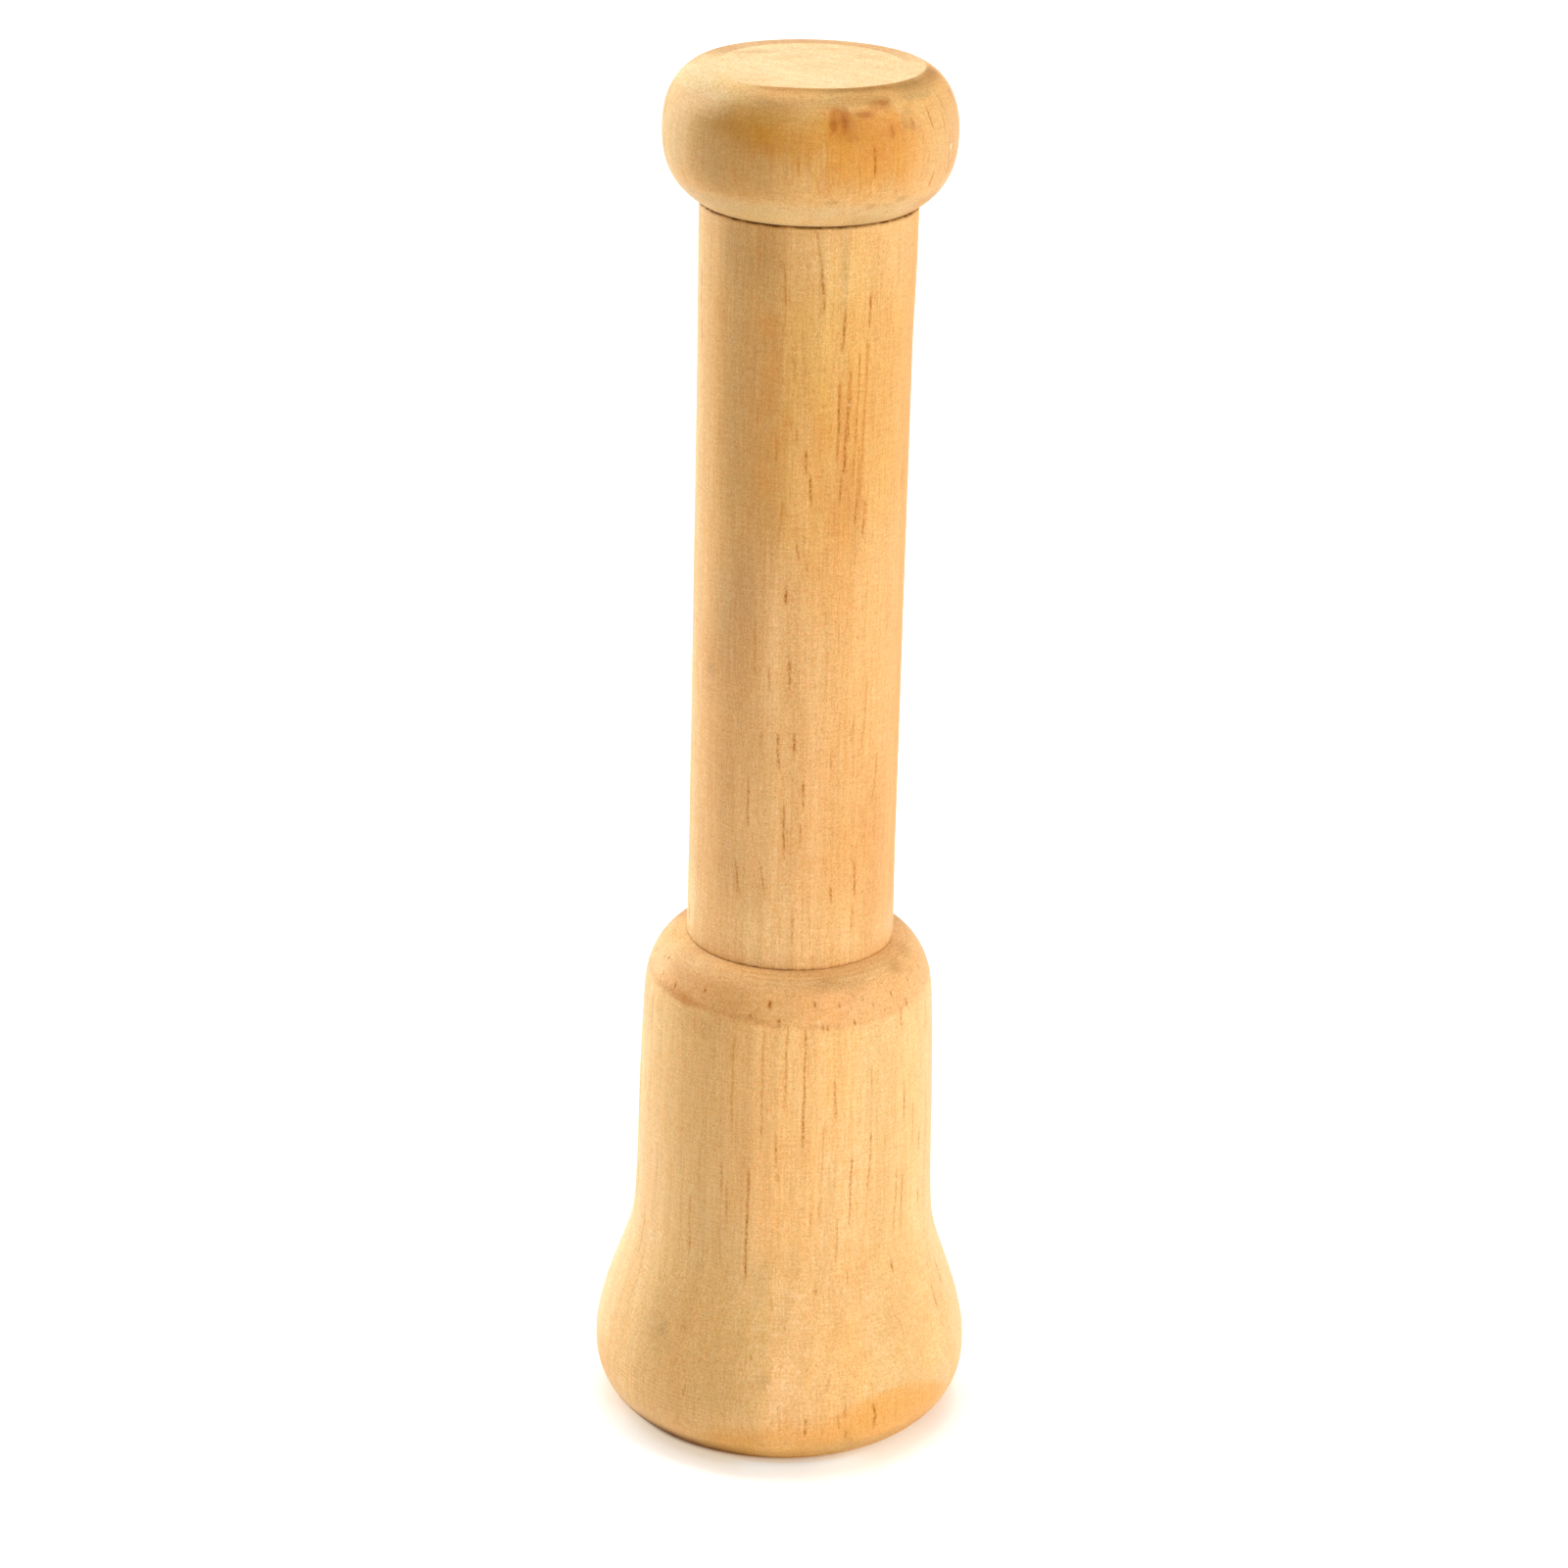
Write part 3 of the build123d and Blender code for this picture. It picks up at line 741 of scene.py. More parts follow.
    # painted highlight on the far left of the shoulder
    stain((126, 136, 152), swing(-56, -74) * rise(71, 73) * 0.9)
    line = bell(z, edge + 0.35, 0.5)
    stain((98, 79, 68), line * within(-66, -4, 7) * (0.85 + 0.3 * cloud))
    stain((114, 96, 88), line * within(2, 64, 9) * (0.55 + 0.4 * cloud))
    marks((86, 60, 30), [
        (-47.5, 71.7, 1.9, 0.75, 1), (-54.5, 72, 1.4, 0.6, 0.55), (-40, 71.5, 1.6, 0.5, 0.35),
    ])
    # brown haze near the grip on the right, pale patches at the front
    marks((82, 70, 56), [
        (58, 75.6, 1.6, 0.9, 0.65), (74, 76.2, 1.8, 0.8, 0.5), (18, 75.8, 3, 0.7, 0.5),
        (66, 74.6, 1.2, 0.8, 0.3), (30, 75.2, 2.2, 0.6, 0.25),
    ])
    marks((124, 118, 124), [(-2.5, 72.8, 1.5, 0.9, 0.6), (-8.5, 74.6, 1.6, 0.9, 0.35)])
    # small corrections of tone
    # painted highlights along the far left rim
    left = swing(-65, -74)
    glaze((100, 108, 117), left * rise(12, 16) * rise(46, 40))
    left = swing(-66, -74)
    glaze((99, 107, 107), left * swing(-110, -95) * rise(48, 53) * rise(68, 63))
    glaze((99, 103, 113), within(38, 66) * rise(13.8, 11.5) * rise(3.5, 6))
    sides = (left + swing(66, 74)) * smooth(104, 90, np.abs(angle))
    glaze((99, 92, 82), sides * rise(10, 8))
    glaze((99, 90, 75), sides * rise(10.6, 8.6))
    glaze((94, 90, 87), within(-52, -26) * rise(66.4, 68) * rise(71, 70))
    glaze((99, 90, 74), within(-14, 16) * bell(z, 8, 1.5))
    coat.glaze_spots([
        ((105, 105, 115), -60, 36, 2.8, 15), ((89, 88, 89), -45, 21, 3.2, 6),
        ((93, 94, 89), 0, 25.5, 2, 4.5), ((102, 107, 112), 20, 41, 2.4, 9),
        ((103, 105, 108), 0, 62, 2.2, 5), ((107, 107, 108), -1, 71.1, 3.4, 0.8),
        ((106, 110, 112), -20, 62, 2.2, 5), ((109, 110, 113), -60, 73, 2.4, 1.2),
    ])
    coat.hidden_side(551)
    back = coat.back()
    stain((79, 69, 60), back * shoulder * (0.75 + 0.2 * broad))
    stain((68, 54, 42), back * line * (0.5 + 0.4 * cloud))
    # painted shade along the bottom of the foot at the back
    stain((62, 50, 34), back * rise(2.8, 1) * 0.75)


# cut vessels on the shoulder: angle, height, half width, half height, amount
SHOULDER_DOTS = (
    (-37.3, 73.8, 0.22, 0.4, 0.6), (11.2, 73.6, 0.22, 0.36, 0.75), (21.7, 73.2, 0.2, 0.3, 0.95),
    (-7.4, 73.6, 0.3, 0.55, 0.6), (-14.9, 71.8, 0.18, 0.4, 0.6), (-3.3, 71.3, 0.24, 0.55, 0.95),
    (14.2, 70.3, 0.16, 0.5, 0.5), (16.0, 70.3, 0.16, 0.45, 0.5), (27.5, 70.6, 0.22, 0.4, 0.55),
    (37.3, 72.4, 0.2, 0.3, 0.7), (47.7, 73.0, 0.2, 0.4, 0.6), (42.6, 71.3, 0.18, 0.3, 0.6),
    (55.7, 70.9, 0.2, 0.55, 0.8), (52.1, 70.4, 0.16, 0.3, 0.5), (33.0, 73.4, 0.16, 0.25, 0.5),
    (28.8, 74.2, 0.2, 0.25, 0.4), (61.0, 73.6, 0.18, 0.3, 0.5), (6.0, 72.6, 0.16, 0.25, 0.35),
    (-28.0, 73.0, 0.16, 0.25, 0.3), (-60.0, 72.6, 0.16, 0.3, 0.35), (30.2, 72.0, 0.14, 0.2, 0.35),
    (45.0, 74.4, 0.16, 0.2, 0.35), (3.0, 74.9, 0.16, 0.2, 0.3), (-20.0, 74.4, 0.16, 0.25, 0.25),
)


def dot_shoulder(coat, pore):
    """Adds the cut vessels to the pore strength, with random ones off the front."""
    rng = np.random.default_rng(524)
    dots = list(SHOULDER_DOTS)
    for _ in range(46):
        angle, height = rng.uniform(66, 310), rng.uniform(70.4, 75.4)
        dots.append((angle, height, 0.2, rng.uniform(0.2, 0.5), rng.uniform(0.3, 0.85)))
    for *place, amount in dots:
        dot = min(1.0, 1.45 * amount) * coat.spot(*place, 1.5)
        np.maximum(pore, dot, out=pore)


# ------------------------------------------------------------------ the pieces


def make_handle():
    rng = np.random.default_rng(2101)
    theta = columns(HANDLE_COLUMNS)
    heights = np.r_[Z_KNOB - 0.42, np.arange(Z_KNOB - 0.75, Z_HEAD + 0.6, -0.78), Z_HEAD + 0.42]
    rows = np.c_[np.full(len(heights), R_GRIP), heights]
    radius, z, data = grid(rows, theta)
    dashes = HANDLE_DASHES + stray_dashes(rng, 150, Z_HEAD + 1, Z_KNOB - 1)
    pore = pore_field(rng, dashes, theta, rows, 0.88)
    radius += 0.025 * np.cos(2 * theta - 0.7) + 0.02 * band_noise(rng, theta, z, 6, 7.0)
    radius += 0.008 * band_noise(rng, 0.0, z, 3, 1.6) - 0.05 * pore
    # the grip swells a little at both ends
    radius += (0.20 + 0.08 * np.sin(theta)) * smooth(163, 184, z) + 0.11 * smooth(93, 79, z)
    data[:, :, PORE] = pore
    data[:, :, TURN] = z
    paint_handle(Coat(data, theta, R_GRIP, z))

    def worn_edge(row, face_z, up, seed, size, seam_dirt_and_shade):
        """Rings of the worn, slightly ragged arris at one end, from the face out."""
        rng = np.random.default_rng(seed)
        chamfer = size * (1 + 0.28 * ring_noise(rng, theta, 46))
        chamfer += 0.10 * np.clip(ring_noise(rng, theta, 120) - 0.35, 0, 1)
        chamfer = np.clip(chamfer, 0.05, 0.34)
        rings = []
        for part, strength in ((0, 1.0), (0.5, 0.95), (1, 0.45)):
            painted = data[row].copy()
            painted[:, PORE] = 0
            painted[:, SEAM] = strength * seam_dirt_and_shade
            edge = radius[row] - chamfer * (1 - part)
            rings.append((edge, face_z - up * chamfer * part, HANDLE_COLUMNS, painted))
        return rings

    # dirt and painted shade in the worn seams at both ends of the grip
    seam_rng = np.random.default_rng(33)
    top_dirt_and_shade = ragged(seam_rng, theta, 130, 0.72, 0.45, 0.15)
    low_dirt_and_shade = ragged(seam_rng, theta, 140, 0.50, 0.75, 0.05) * fainter_right(theta, 0.8)
    low_dirt_and_shade *= 0.85 - 0.4 * smooth(-0.25, -0.7, theta)

    lathe = Lathe()
    depths = (20, *np.linspace(16, 0.25, 4))
    lathe.sweep(bored_end(Z_KNOB, -1, BORE_SMALL, depths, 7.0, 14.2, HANDLE_COLUMNS))
    lathe.sweep(worn_edge(0, Z_KNOB, 1, 31, 0.20, top_dirt_and_shade))
    lathe.skin(radius, z, data)
    lathe.sweep(reversed(worn_edge(-1, Z_HEAD, -1, 32, 0.09, low_dirt_and_shade)))
    bottom = bored_end(Z_HEAD, 1, BORE_BIG, BIG_DEPTHS, 7.6, 14.2, HANDLE_COLUMNS)
    lathe.sweep(reversed(bottom))
    return lathe.build("handle_turned")


def make_knob():
    rng = np.random.default_rng(2102)
    theta = columns(KNOB_COLUMNS)
    rows, along = walk(spline(KNOB_OUTLINE), KNOB_SPACING)
    # a few flat rings just inside the facet's edge, so that it can be rounded over
    flat = len(PALM_INSETS)
    rows = np.r_[np.c_[PALM_RADIUS - PALM_INSETS, np.full(flat, Z_TOP)], rows]
    from_edge = np.r_[rows[:flat, 0] - PALM_RADIUS, along]
    radius, z, data = grid(rows, theta)
    # the facet's edge: crisp at the front right and back, sanded soft at the left
    reach = 0.15 + 2.2 * smooth(-2.05, -1.45, theta) * smooth(-0.05, -0.75, theta)
    drop = reach * math.tan(math.radians(14)) / 2
    z -= drop * np.clip(1 - np.abs(from_edge[:, None]) / reach, 0, 1) ** 2
    z[:flat] += 0.012 * band_noise(rng, theta, radius[:flat], 5, 2.0)
    dashes = KNOB_DASHES + stray_dashes(rng, 46, 188.5, 202.5)
    outer = from_edge > 0.4
    pore = np.zeros_like(z)
    pore[outer] = pore_field(rng, dashes, theta, rows[outer], 1.2)
    wall = smooth(0, 4, from_edge)[:, None]
    uneven = 0.03 * np.cos(2 * theta - 0.4) + 0.03 * band_noise(rng, theta, z, 5, 5.0)
    radius += wall * uneven
    radius -= 0.045 * pore
    data[:, :, PORE] = pore
    data[:, :, TURN] = from_edge[:, None]
    paint_knob(Coat(data, theta, radius, z), from_edge[:, None])
    # dirt and painted shade in the seam at the knob's foot
    seam_dirt_and_shade = ragged(np.random.default_rng(41), theta, 120, 0.66, 0.5, 0.1)
    data[-1, :, SEAM] = 0.75 * seam_dirt_and_shade
    data[-2, :, SEAM] = 0.10 * seam_dirt_and_shade

    palm = []
    count = KNOB_COLUMNS
    for ring_radius in PALM_RADII:
        while 2 * np.pi * ring_radius / count < PALM_MIN_WIDTH:
            count //= 2
        palm.append((ring_radius, Z_TOP, count, palm_data(ring_radius, count)))
    palm.append((0, Z_TOP, 1, palm_data(0, 1)))
    lathe = Lathe()
    lathe.sweep(reversed(palm))
    lathe.skin(radius, z, data)
    bottom = bored_end(Z_KNOB, 1, BORE_SMALL, (12, 8, 4, 0.25), 7.4, 14.2, KNOB_COLUMNS)
    lathe.sweep(reversed(bottom))
    return lathe.build("knob_turned")


def make_head():
    rng = np.random.default_rng(2103)
    theta = columns(HEAD_COLUMNS)
    rows, along = walk(spline(HEAD_OUTLINE), HEAD_SPACING)
    rows = np.r_[[(14.93, Z_HEAD)], rows]
    along = np.r_[0.0, along]
    radius, z, data = grid(rows, theta)
    dashes = [(*place, 0.9 * strength) for *place, strength in HEAD_DASHES]
    dashes += stray_dashes(rng, 130, 16.0, 69.0)
    pore = np.zeros_like(z)
    outer = rows[:, 1] < 72.5
    pore[outer] = pore_field(rng, dashes, theta, rows[outer], 0.92)
    body = smooth(0.5, 5, along)[:, None]
    uneven = 0.04 * np.cos(2 * theta + 0.9) + 0.03 * band_noise(rng, theta, z, 5, 9.0)
    radius += body * uneven
    radius += body * 0.008 * band_noise(rng, 0.0, z, 3, 1.9)
    radius -= 0.05 * pore
    # rings left by the turning tool on the end grain beside the grip
    wave = np.sin(along * 2 * np.pi / TOOL_PITCH)
    rings = 0.024 * wave * smooth(0.3, 0.7, along) * smooth(5.2, 2.6, along)
    z += rings[:, None] * (0.7 + 0.3 * band_noise(rng, theta, z, 9, 1.0))
    # nothing reaches below the flat mashing face
    z = np.maximum(z, 0.0)
    data[:, :, PORE] = pore
    data[:, :, TURN] = along[:, None]
    coat = Coat(data, theta, radius, z)
    paint_head(coat)
    dot_shoulder(coat, data[:, :, PORE])
    groove = np.clip(-wave, 0, 1) * smooth(0.3, 0.9, along) * smooth(4.8, 2.2, along)
    coat.stain((78, 66, 50), groove[:, None] * 0.34 * coat.within(-30, 62, 14))
    # dirt and painted shade in the seam at the top of the head, fainter on the right
    seam_dirt_and_shade = ragged(np.random.default_rng(43), theta, 130, 0.42, 0.8, 0)
    fade = fainter_right(theta, 0.85)
    data[0, :, SEAM] = 0.6 * fade
    data[1, :, SEAM] = 0.40 * seam_dirt_and_shade * fade

    lathe = Lathe()
    lathe.sweep(bored_end(Z_HEAD, -1, BORE_BIG, BIG_DEPTHS, 7.6, 14.4, HEAD_COLUMNS))
    lathe.skin(radius, z, data)
    # mashing face: radius, divisor of the columns
    for ring_radius, divide in (
        (17.6, 1), (16.2, 2), (14.0, 4), (11.0, 8), (8.0, 8), (5.0, 16), (2.5, 16)
    ):
        lathe.ring(ring_radius, 0.0, HEAD_COLUMNS // divide)
    lathe.ring(0, 0.0, 1)
    return lathe.build("head_turned")


# ------------------------------------------------------------------ materials


class Net:
    """Short calls that add nodes to one shader tree."""

    def __init__(self, tree):
        self.tree = tree
        tree.nodes.clear()

    def node(self, kind, inputs=(), **props):
        """inputs is a list in socket order or a dict by socket name or index."""
        node = self.tree.nodes.new("ShaderNode" + kind)
        for name, value in props.items():
            setattr(node, name, value)
        pairs = inputs.items() if isinstance(inputs, dict) else enumerate(inputs)
        for key, value in pairs:
            socket = node.inputs[key]
            if isinstance(value, bpy.types.NodeSocket):
                self.tree.links.new(value, socket)
            else:
                socket.default_value = (*value, 1.0) if socket.type == "RGBA" else value
        return node

    def math(self, operation, *values, clamp=False):
        return self.node("Math", values, operation=operation, use_clamp=clamp).outputs[0]

    def add(self, first, second):
        return self.math("ADD", first, second)

    def minus(self, first, second, clamp=False):
        return self.math("SUBTRACT", first, second, clamp=clamp)

    def times(self, first, second, clamp=False):
        return self.math("MULTIPLY", first, second, clamp=clamp)

    def linear(self, value, slope, offset):
        return self.math("MULTIPLY_ADD", value, slope, offset)

    def centred(self, value, amount):
        """A 0..1 value as a swing of the given size about 0."""
        return self.linear(value, amount, -0.5 * amount)

    def vector(self, operation, *values):
        node = self.node("VectorMath", values, operation=operation)
        return node.outputs[1 if operation in ("LENGTH", "DOT_PRODUCT") else 0]

    def scale(self, vector, factor):
        return self.node("VectorMath", {0: vector, 3: factor}, operation="SCALE").outputs[0]

    def split(self, vector):
        return self.node("SeparateXYZ", [vector]).outputs

    def noise(self, vector, stretch=None, detail=2, rough=0.5, shift=None):
        """Noise of the vector, first shifted and then stretched by axis."""
        if shift:
            vector = self.vector("ADD", vector, shift)
        if stretch:
            vector = self.vector("MULTIPLY", vector, stretch)
        inputs = {"Vector": vector, "Scale": 1.0, "Detail": detail, "Roughness": rough}
        return self.node("TexNoise", inputs).outputs["Fac"]

    def ramp(self, value, start, end, low=0.0, high=1.0):
        """Eases from low to high while the value goes from start to end."""
        limits = {"From Min": start, "From Max": end, "To Min": low, "To Max": high}
        inputs = {"Value": value, **limits}
        return self.node("MapRange", inputs, interpolation_type="SMOOTHSTEP").outputs["Result"]

    def band(self, value, into, out, peak=1.0):
        """Eases up to the peak over one span and back to 0 over another."""
        return self.times(self.ramp(value, *into, 0.0, peak), self.ramp(value, *out))

    def mix(self, factor, first, second, mode="MIX"):
        inputs = {0: factor, 6: first, 7: second}
        return self.node("Mix", inputs, data_type="RGBA", blend_type=mode).outputs[2]

    def tinted(self, colour, *channels):
        """The colour multiplied, channel by channel."""
        factor = self.node("CombineColor", channels).outputs[0]
        return self.mix(1.0, colour, factor, "MULTIPLY")

    def attribute(self, name, output="Fac"):
        node = self.node("Attribute", attribute_name=name, attribute_type="GEOMETRY")
        return node.outputs[output]

    def position(self):
        return self.node("TexCoord").outputs["Object"]

    def camera_ray(self):
        return self.node("LightPath").outputs["Is Camera Ray"]

    def bump(self, height, strength, distance):
        inputs = {"Strength": strength, "Distance": distance, "Height": height}
        return self.node("Bump", inputs).outputs[0]

    def surface(self, inputs):
        bsdf = self.node("BsdfPrincipled", inputs)
        self.node("OutputMaterial", [bsdf.outputs[0]])


def new_material(name):
    mat = bpy.data.materials.new(name)
    mat.use_nodes = True
    return mat, Net(mat.node_tree)


# strength of the light and dark in fibres, fine pores, grit and tool marks
FIBRE, FINE, GRIT, TOOL = 0.50, 0.40, 0.96, 0.32
RING_WIDTH = 3.1  # of a year's growth
PITH_LEAN = 0.0  # of the pith off the turning axis


def wood(name, pith, shift, coarse):
    """Plain-sawn pale wood as a solid texture: growth rings round a pith far off
    the turning axis, long fibres, vessel specks, mottling, end grain where the
    surface faces along the axis, and the painted-in marks of the mesh."""
    mat, net = new_material(name)
    place_mm = net.scale(net.position(), 1000.0)
    x, y, z = net.split(place_mm)
    stock = net.vector("ADD", place_mm, shift)
    # slow warp, so that nothing runs ruler-straight
    slow = (0.045, 0.045, 0.012)
    warp_x = net.noise(stock, slow)
    warp_y = net.noise(stock, slow, shift=(31, 17, 5))
    warp = net.node("CombineXYZ", [net.centred(warp_x, 5.0), net.centred(warp_y, 5.0)])
    warped = net.vector("ADD", place_mm, warp.outputs[0])
    warped = net.vector("ADD", warped, (-pith[0], -pith[1], 0.0))
    pith_x, pith_y, pith_z = net.split(warped)
    pith_x = net.linear(pith_z, PITH_LEAN, pith_x)
    pith_y = net.linear(pith_z, PITH_LEAN, pith_y)
    distance = net.add(net.times(pith_x, pith_x), net.times(pith_y, pith_y))
    rings = net.math("DIVIDE", net.math("SQRT", distance), RING_WIDTH)
    # rings of uneven width
    uneven = net.noise(warped, (0.11, 0.11, 0.004), detail=1)
    rings = net.add(rings, net.times(uneven, 1.6))
    late = net.band(net.math("FRACT", rings), (0.25, 0.86), (1.0, 0.9))
    fibre = net.noise(stock, (2.6, 2.6, 0.085), detail=5, rough=0.62)
    fine = net.noise(stock, (8.5, 8.5, 0.55), rough=0.6)
    grit = net.noise(stock, (4.3, 4.3, 3.5), rough=0.65)
    # marks of the turning tool follow the outline
    turn = net.node("CombineXYZ", {2: net.attribute("turn")}).outputs[0]
    turned = net.vector("ADD", net.vector("MULTIPLY", stock, (1, 1, 0)), turn)
    tool = net.noise(turned, (0.45, 0.45, 3.3), rough=0.6)
    mottle = net.noise(stock, (0.10, 0.10, 0.028), detail=3, rough=0.55)
    patch = net.noise(stock, (0.16, 0.16, 0.035), detail=3, rough=0.55, shift=(9, 90, 40))
    specks = net.ramp(net.noise(stock, (4.6, 4.6, 0.30), shift=(70, 7, 0)), 0.655, 0.74)
    facing = net.split(net.node("NewGeometry").outputs["Normal"])[2]
    end = net.ramp(net.math("ABSOLUTE", facing), 0.42, 0.95)
    colour = net.attribute("tint", "Color")
    pore = net.attribute("pore")
    seam = net.attribute("seam")

    # the painted stock, varied by slow mottling, heartwood patches and late wood
    tone = net.ramp(mottle, 0.34, 0.68, 0.955, 1.04)
    colour = net.tinted(
        colour, net.math("POWER", tone, 0.5), tone, net.math("POWER", tone, 1.9)
    )
    colour = net.mix(net.times(net.ramp(patch, 0.5, 0.76), 0.16), colour, (0.66, 0.30, 0.075))
    colour = net.mix(net.times(late, 0.10), colour, (0.56, 0.26, 0.075))
    # fibres, fine pores and a dusty grit, harsher on end grain
    shade = net.add(net.centred(fibre, FIBRE), net.centred(fine, FINE))
    harsh = net.linear(end, 0.42 * coarse - 0.10, coarse)
    shade = net.add(shade, net.times(net.centred(grit, GRIT), harsh))
    shade = net.add(net.add(shade, net.centred(tool, TOOL)), 1.0)
    # chatter of the turning tool low on the left of the flare
    wave = net.linear(net.attribute("turn"), 9.6, net.times(mottle, 7.0))
    wave = net.math("SINE", wave)
    low = net.band(z, (7, 10), (15, 12))
    low = net.times(low, net.times(net.ramp(x, -7, -13), net.ramp(y, 2, -6)))
    shade = net.add(shade, net.times(net.times(wave, low), 0.062))
    # dark wood is also redder
    colour = net.tinted(colour, *(net.math("POWER", shade, p) for p in (0.57, 1.12, 2.1)))
    # dapples of pinker and yellower wood
    rosy, straw, tinge = (
        net.minus(net.noise(stock, stretch, detail, rough, dapple_shift), 0.5)
        for stretch, detail, rough, dapple_shift in (
            ((2.4, 2.4, 1.3), 3, 0.7, (11, 3, 60)),
            ((1.5, 1.5, 0.7), 3, 0.7, (5, 44, 13)),
            ((0.52, 0.52, 0.2), 2, 0.6, (77, 19, 31)),
        )
    )
    less = net.linear(tinge, -0.05, 1.0)
    more = net.linear(tinge, 0.05, 1.0)
    red = net.linear(rosy, -0.17, less)
    green = net.linear(rosy, 0.17, more)
    blue = net.linear(rosy, 0.17, more)
    blue = net.add(blue, net.linear(straw, 0.40, net.times(tinge, 0.18)))
    colour = net.tinted(colour, red, green, blue)
    colour = net.mix(net.times(specks, net.linear(end, 0.22, 0.20)), colour, (0.33, 0.16, 0.055))
    # vessels break up into short beads, darkest where they are widest
    bead = net.noise(stock, (3.2, 3.2, 1.9), detail=1, shift=(3, 21, 8))
    pore = net.times(pore, net.ramp(bead, 0.34, 0.62, 0.42, 1.22), clamp=True)
    colour = net.mix(net.times(pore, 0.95), colour, (0.51, 0.155, 0.010))
    colour = net.mix(net.ramp(pore, 0.55, 1.0, 0.0, 0.55), colour, (0.24, 0.088, 0.016))
    # dirt and painted shade darken the seams
    colour = net.mix(seam, colour, (0.16, 0.072, 0.012))

    rough = net.linear(fibre, 0.16, 0.40)
    rough = net.add(rough, net.times(net.add(end, pore), 0.14))
    # fibres, specks and fine rings from the turning tool stand in the relief
    tool_rings = net.noise(turned, (0.06, 0.06, 3.4), rough=0.6)
    relief = net.add(net.times(fibre, 0.9), net.times(fine, 0.5))
    relief = net.add(relief, net.times(tool_rings, 0.55))
    relief = net.minus(relief, net.times(specks, 0.5))
    relief = net.minus(relief, net.times(pore, 0.8))
    # duller in pores and seams, and close to the floor
    sheen = net.linear(pore, -0.2, 0.32)
    sheen = net.minus(sheen, net.times(seam, 0.22), clamp=True)
    net.surface({
        "Base Color": colour,
        "Roughness": rough,
        "Normal": net.bump(relief, strength=0.55, distance=0.00006),
        "IOR": 1.5,
        "Specular IOR Level": net.times(sheen, net.ramp(z, 2.2, 6.0)),
    })
    return mat


def dowel_wood():
    """Machined beech pin: close, straight grain with short rays."""
    mat, net = new_material("dowel_beech")
    place_mm = net.scale(net.position(), 1000.0)
    fibre = net.noise(place_mm, (3.4, 3.4, 0.16), detail=4, rough=0.6)
    rays = net.ramp(net.noise(place_mm, (6.0, 6.0, 0.9), detail=1), 0.60, 0.72)
    slow = net.noise(place_mm, (0.3, 0.3, 0.05))
    colour = net.mix(net.ramp(slow, 0.35, 0.65), (0.50, 0.29, 0.135), (0.62, 0.40, 0.21))
    colour = net.mix(net.times(rays, 0.45), colour, (0.30, 0.15, 0.06))
    shade = net.linear(fibre, 0.45, 0.78)
    net.surface({
        "Base Color": net.tinted(colour, shade, shade, shade),
        "Roughness": net.linear(fibre, 0.2, 0.48),
        "Normal": net.bump(net.minus(fibre, rays), strength=0.5, distance=0.00008),
    })
    return mat


# CAD node, maker, place of the pith, shift within the stock, coarseness of the grit
PIECES = (
    ("handle", make_handle, (-52.0, 38.0), (0.0, 0.0, 0.0), 1.0),
    ("knob", make_knob, (48.0, 46.0), (140.0, 60.0, 0.0), 0.84),
    ("head", make_head, (-64.0, 30.0), (60.0, 210.0, 90.0), 0.96),
)


def make_pieces():
    turned = [make() for _, make, *_ in PIECES]
    for piece, (node, _, pith, shift, coarse) in zip(turned, PIECES):
        piece.data.materials.append(wood("wood_" + node, pith, shift, coarse))
    for piece, (node, *_) in zip(turned, PIECES):
        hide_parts(node)
        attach(piece, "root")
    beech = dowel_wood()
    for node in ("head_dowel", "knob_dowel"):
        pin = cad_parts[node]
        if not pin.material_slots:
            pin.data.materials.append(beech)
        for slot in pin.material_slots:
            slot.material = beech


# ------------------------------------------------------------------ the studio
# From here on lengths are in metres.

scene = bpy.context.scene
FLOOR_HALF = 9.0


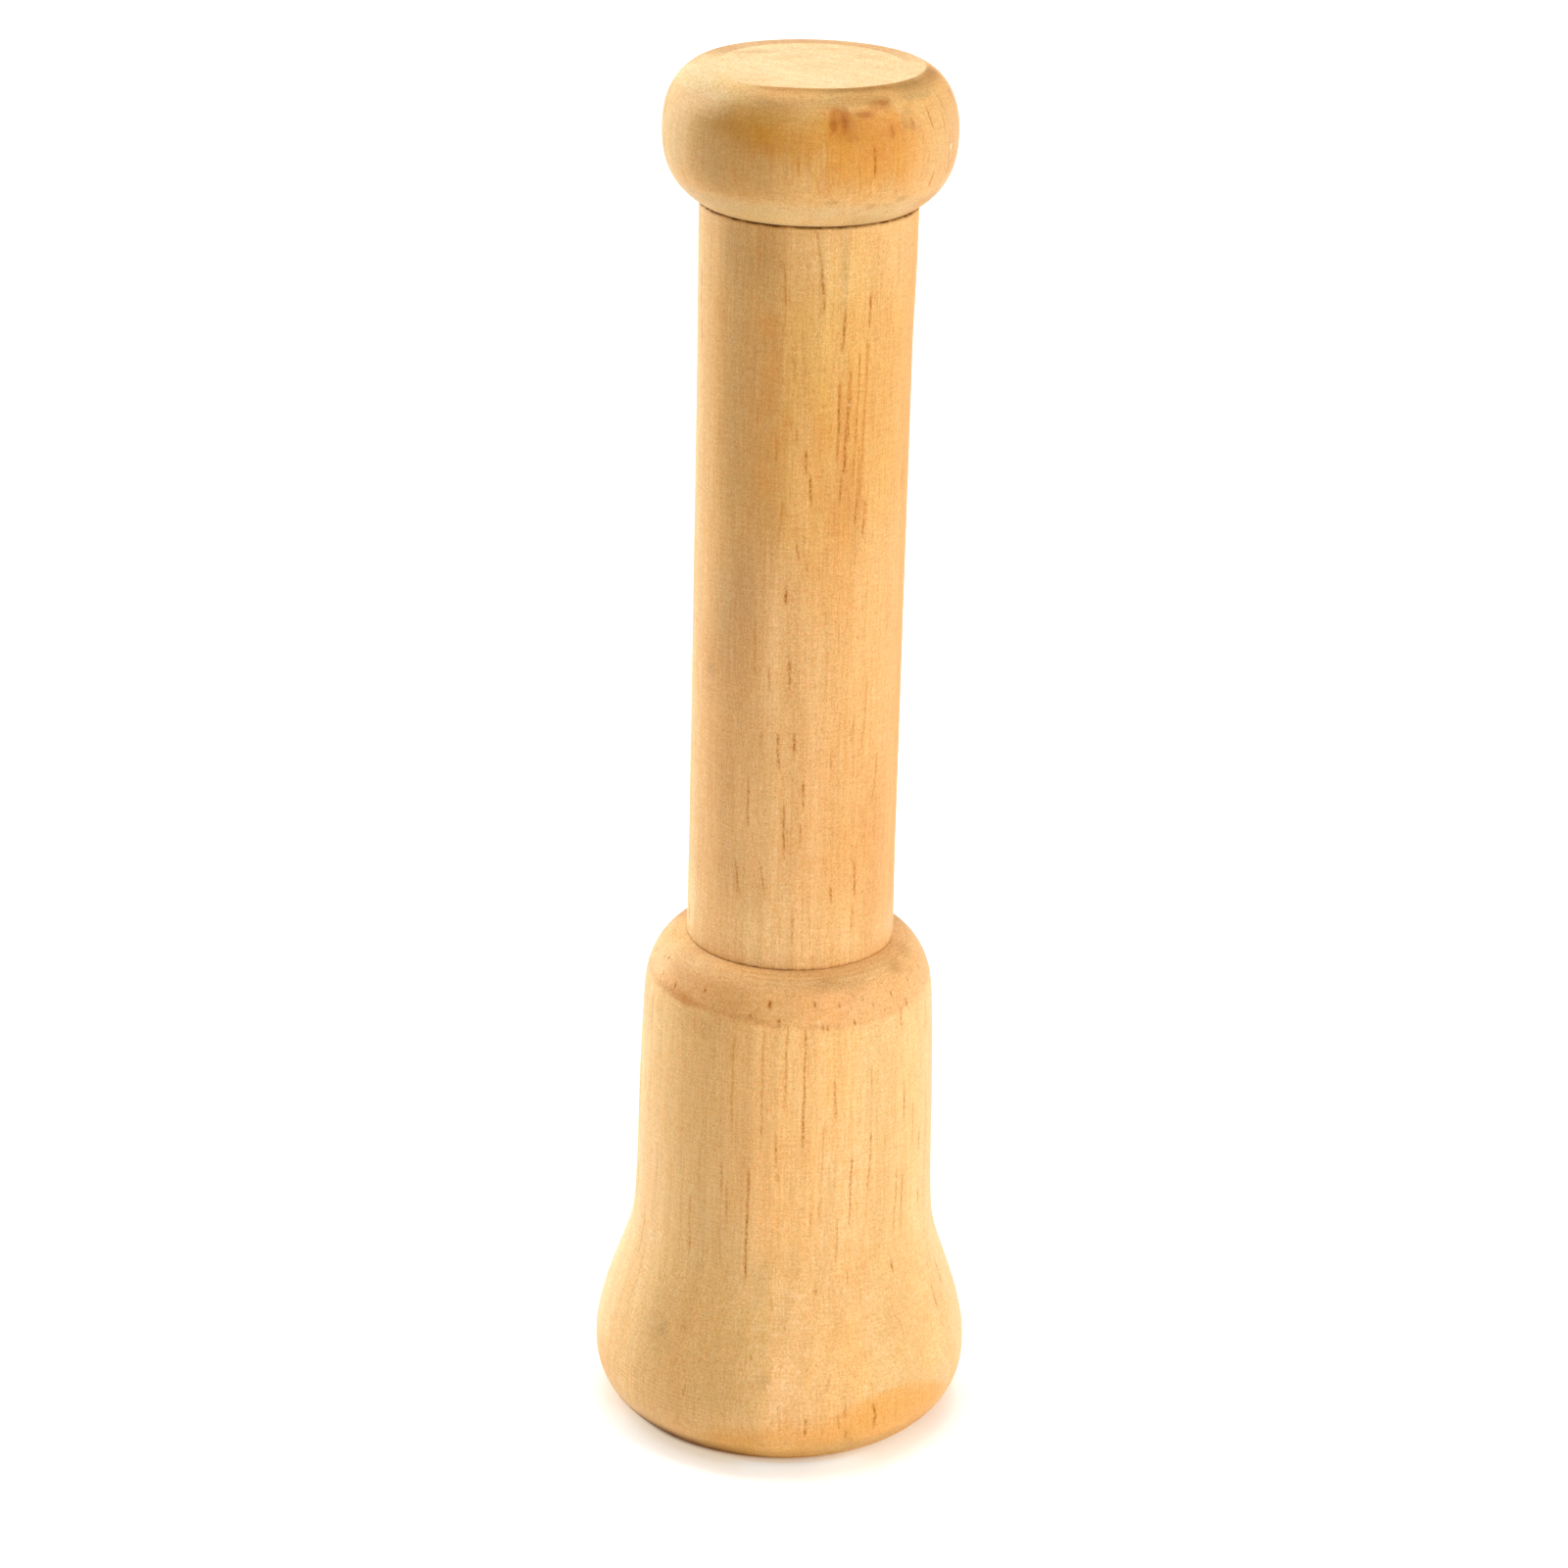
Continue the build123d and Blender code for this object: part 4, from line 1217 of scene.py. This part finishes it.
def floor_material():
    """Pale sheet, glowing softly as if lit from below. reach is the distance from
    a point a little behind the axis: the gap seen under the foot is an even band
    in it."""
    mat, net = new_material("pale_floor")
    ramp, times, add, band = net.ramp, net.times, net.add, net.band
    place = net.position()
    soft = net.noise(net.scale(place, 2.0))
    colour = net.mix(soft, (0.90, 0.90, 0.895), (0.93, 0.93, 0.925))
    x, y, _ = net.split(place)
    reach = net.vector("LENGTH", net.vector("ADD", place, (0.0, -0.0026, 0.0)))
    # painted contact shadow, dark brown and unlit, in the narrow gap under the foot; deepest on the
    # left
    near = net.minus(reach, ramp(x, -0.005, -0.017, 0.0, 0.0006))
    gap = times(ramp(near, 0.0219, 0.0234, 1.0, 0.0), ramp(x, 0.006, -0.010))
    # painted light and shadow, seen by the camera only: the glow is stronger in front and lifted at
    # the left of the foot, a painted soft shadow fades outwards, and a painted bright rim lies
    # straight in front
    front = ramp(y, 0.004, -0.022, 0.03, 0.32)
    far = ramp(reach, 0.0216, 0.0236)
    direct = net.camera_ray()
    lift = band(reach, (0.0224, 0.0244), (0.0288, 0.0262), peak=0.15)
    lift = times(lift, times(ramp(y, -0.003, -0.011), ramp(x, 0.006, -0.010)))
    middle = band(x, (-0.009, -0.002), (0.016, 0.009))
    wide = add(reach, ramp(x, -0.010, -0.022, 0.0, 0.0022))
    fade = times(ramp(wide, 0.0272, 0.0318, 0.0, -0.095), ramp(reach, 0.060, 0.042))
    rim = band(reach, (0.0240, 0.0247), (0.0275, 0.0255), peak=0.05)
    fade = add(fade, times(rim, middle))
    seen = times(direct, add(times(front, far), add(lift, fade)))
    glow = times(add(seen, 0.194), net.minus(1.0, gap))
    # painted bounce light: the glow the camera sees is tinted warm close to the foot, like light
    # thrown from the wood
    tone = net.mix(ramp(reach, 0.0218, 0.0242), (1.0, 0.52, 0.24), (1.0, 0.83, 0.62))
    tone = net.mix(ramp(reach, 0.0240, 0.0275), tone, (1.0, 0.90, 0.76))
    tone = net.mix(ramp(reach, 0.0274, 0.0440), tone, (1.0, 1.0, 1.0))
    # more neutral straight in front, a little less red at the sides
    neutral = times(times(middle, 0.75), ramp(reach, 0.0238, 0.0248))
    tone = net.mix(neutral, tone, (0.94, 0.98, 0.94))
    tone = net.mix(ramp(x, 0.009, 0.017), tone, (0.86, 0.95, 1.0), "MULTIPLY")
    tone = net.mix(ramp(x, -0.0175, -0.0235), tone, (0.88, 0.97, 1.0), "MULTIPLY")
    net.surface({
        "Base Color": net.mix(gap, colour, (0.42, 0.19, 0.06)),
        "Roughness": 0.9,
        "Specular IOR Level": 0.1,
        "Emission Strength": glow,
        "Emission Color": net.mix(direct, (1.0, 1.0, 1.0), tone),
    })
    return mat


def floor():
    mesh = bpy.data.meshes.new("floor")
    corners = [(x * FLOOR_HALF, y * FLOOR_HALF, 0) for x, y in ((-1, -1), (1, -1), (1, 1), (-1, 1))]
    mesh.from_pydata(corners, [], [(0, 1, 2, 3)])
    ob = bpy.data.objects.new("floor", mesh)
    scene.collection.objects.link(ob)
    mesh.materials.append(floor_material())


# soft boxes as smooth lobes of a white surround: azimuth (0 is the camera's side,
# 90 is +X), elevation, sharpness, strength
LIGHTS = [
    (-180, 8, 10, 2.245), (0, 90, 10, 1.206), (120, 8, 10, 0.681), (-105, 52, 30, 0.321),
    (-122, 10, 30, 7.30), (-122, 30, 30, 2.96), (-122, 52, 30, 4.94), (-165, 10, 30, 0.848),
    (-165, 30, 30, 1.416), (0, 90, 30, 9.62), (100, 10, 30, 3.05), (45, 52, 30, 0.785),
    (62, 10, 30, 2.02), (62, 30, 30, 7.37),
]


def surround():
    """Lights the scene with the lobes; the camera sees plain near-white."""
    world = bpy.data.worlds.new("surround")
    scene.world = world
    world.use_nodes = True
    net = Net(world.node_tree)
    direction = net.node("TexCoord").outputs["Generated"]
    total = 0.0
    for azimuth, elevation, sharp, strength in LIGHTS:
        turn, lift = math.radians(azimuth), math.radians(elevation)
        flat = math.cos(lift)
        aim = (math.sin(turn) * flat, -math.cos(turn) * flat, math.sin(lift))
        facing = net.vector("DOT_PRODUCT", direction, aim)
        lobe = net.math("EXPONENT", net.linear(facing, sharp, -sharp))
        total = net.linear(lobe, strength, total)
    lit = net.node("Background", {"Strength": total})
    plain = net.node("Background", {"Strength": 1.0, "Color": (1.0, 0.999, 0.995)})
    mix = net.node("MixShader", [net.camera_ray(), lit.outputs[0], plain.outputs[0]])
    net.node("OutputWorld", [mix.outputs[0]])


def camera():
    pitch, roll, yaw = map(math.radians, (21.582, 1.4396, -0.1335))
    level = math.cos(pitch)
    forward = Vector((math.sin(yaw) * level, math.cos(yaw) * level, -math.sin(pitch)))
    side = Vector((math.cos(yaw), -math.sin(yaw), 0.0))
    up = side.cross(forward)
    x = math.cos(roll) * side + math.sin(roll) * up
    y = -math.sin(roll) * side + math.cos(roll) * up
    place = (0.0, -0.58992, 0.33307)
    data = bpy.data.cameras.new("camera")
    data.lens, data.sensor_width = 100.78, 36.0
    data.clip_start, data.clip_end = 0.01, 60.0
    cam = bpy.data.objects.new("camera", data)
    scene.collection.objects.link(cam)
    rows = [(x[i], y[i], -forward[i], place[i]) for i in range(3)]
    cam.matrix_world = Matrix((*rows, (0, 0, 0, 1)))
    scene.camera = cam


make_pieces()
scene.view_settings.view_transform = "Standard"
scene.view_settings.look = "None"
scene.view_settings.exposure = 0.0
scene.view_settings.gamma = 1.0
floor()
surround()
camera()
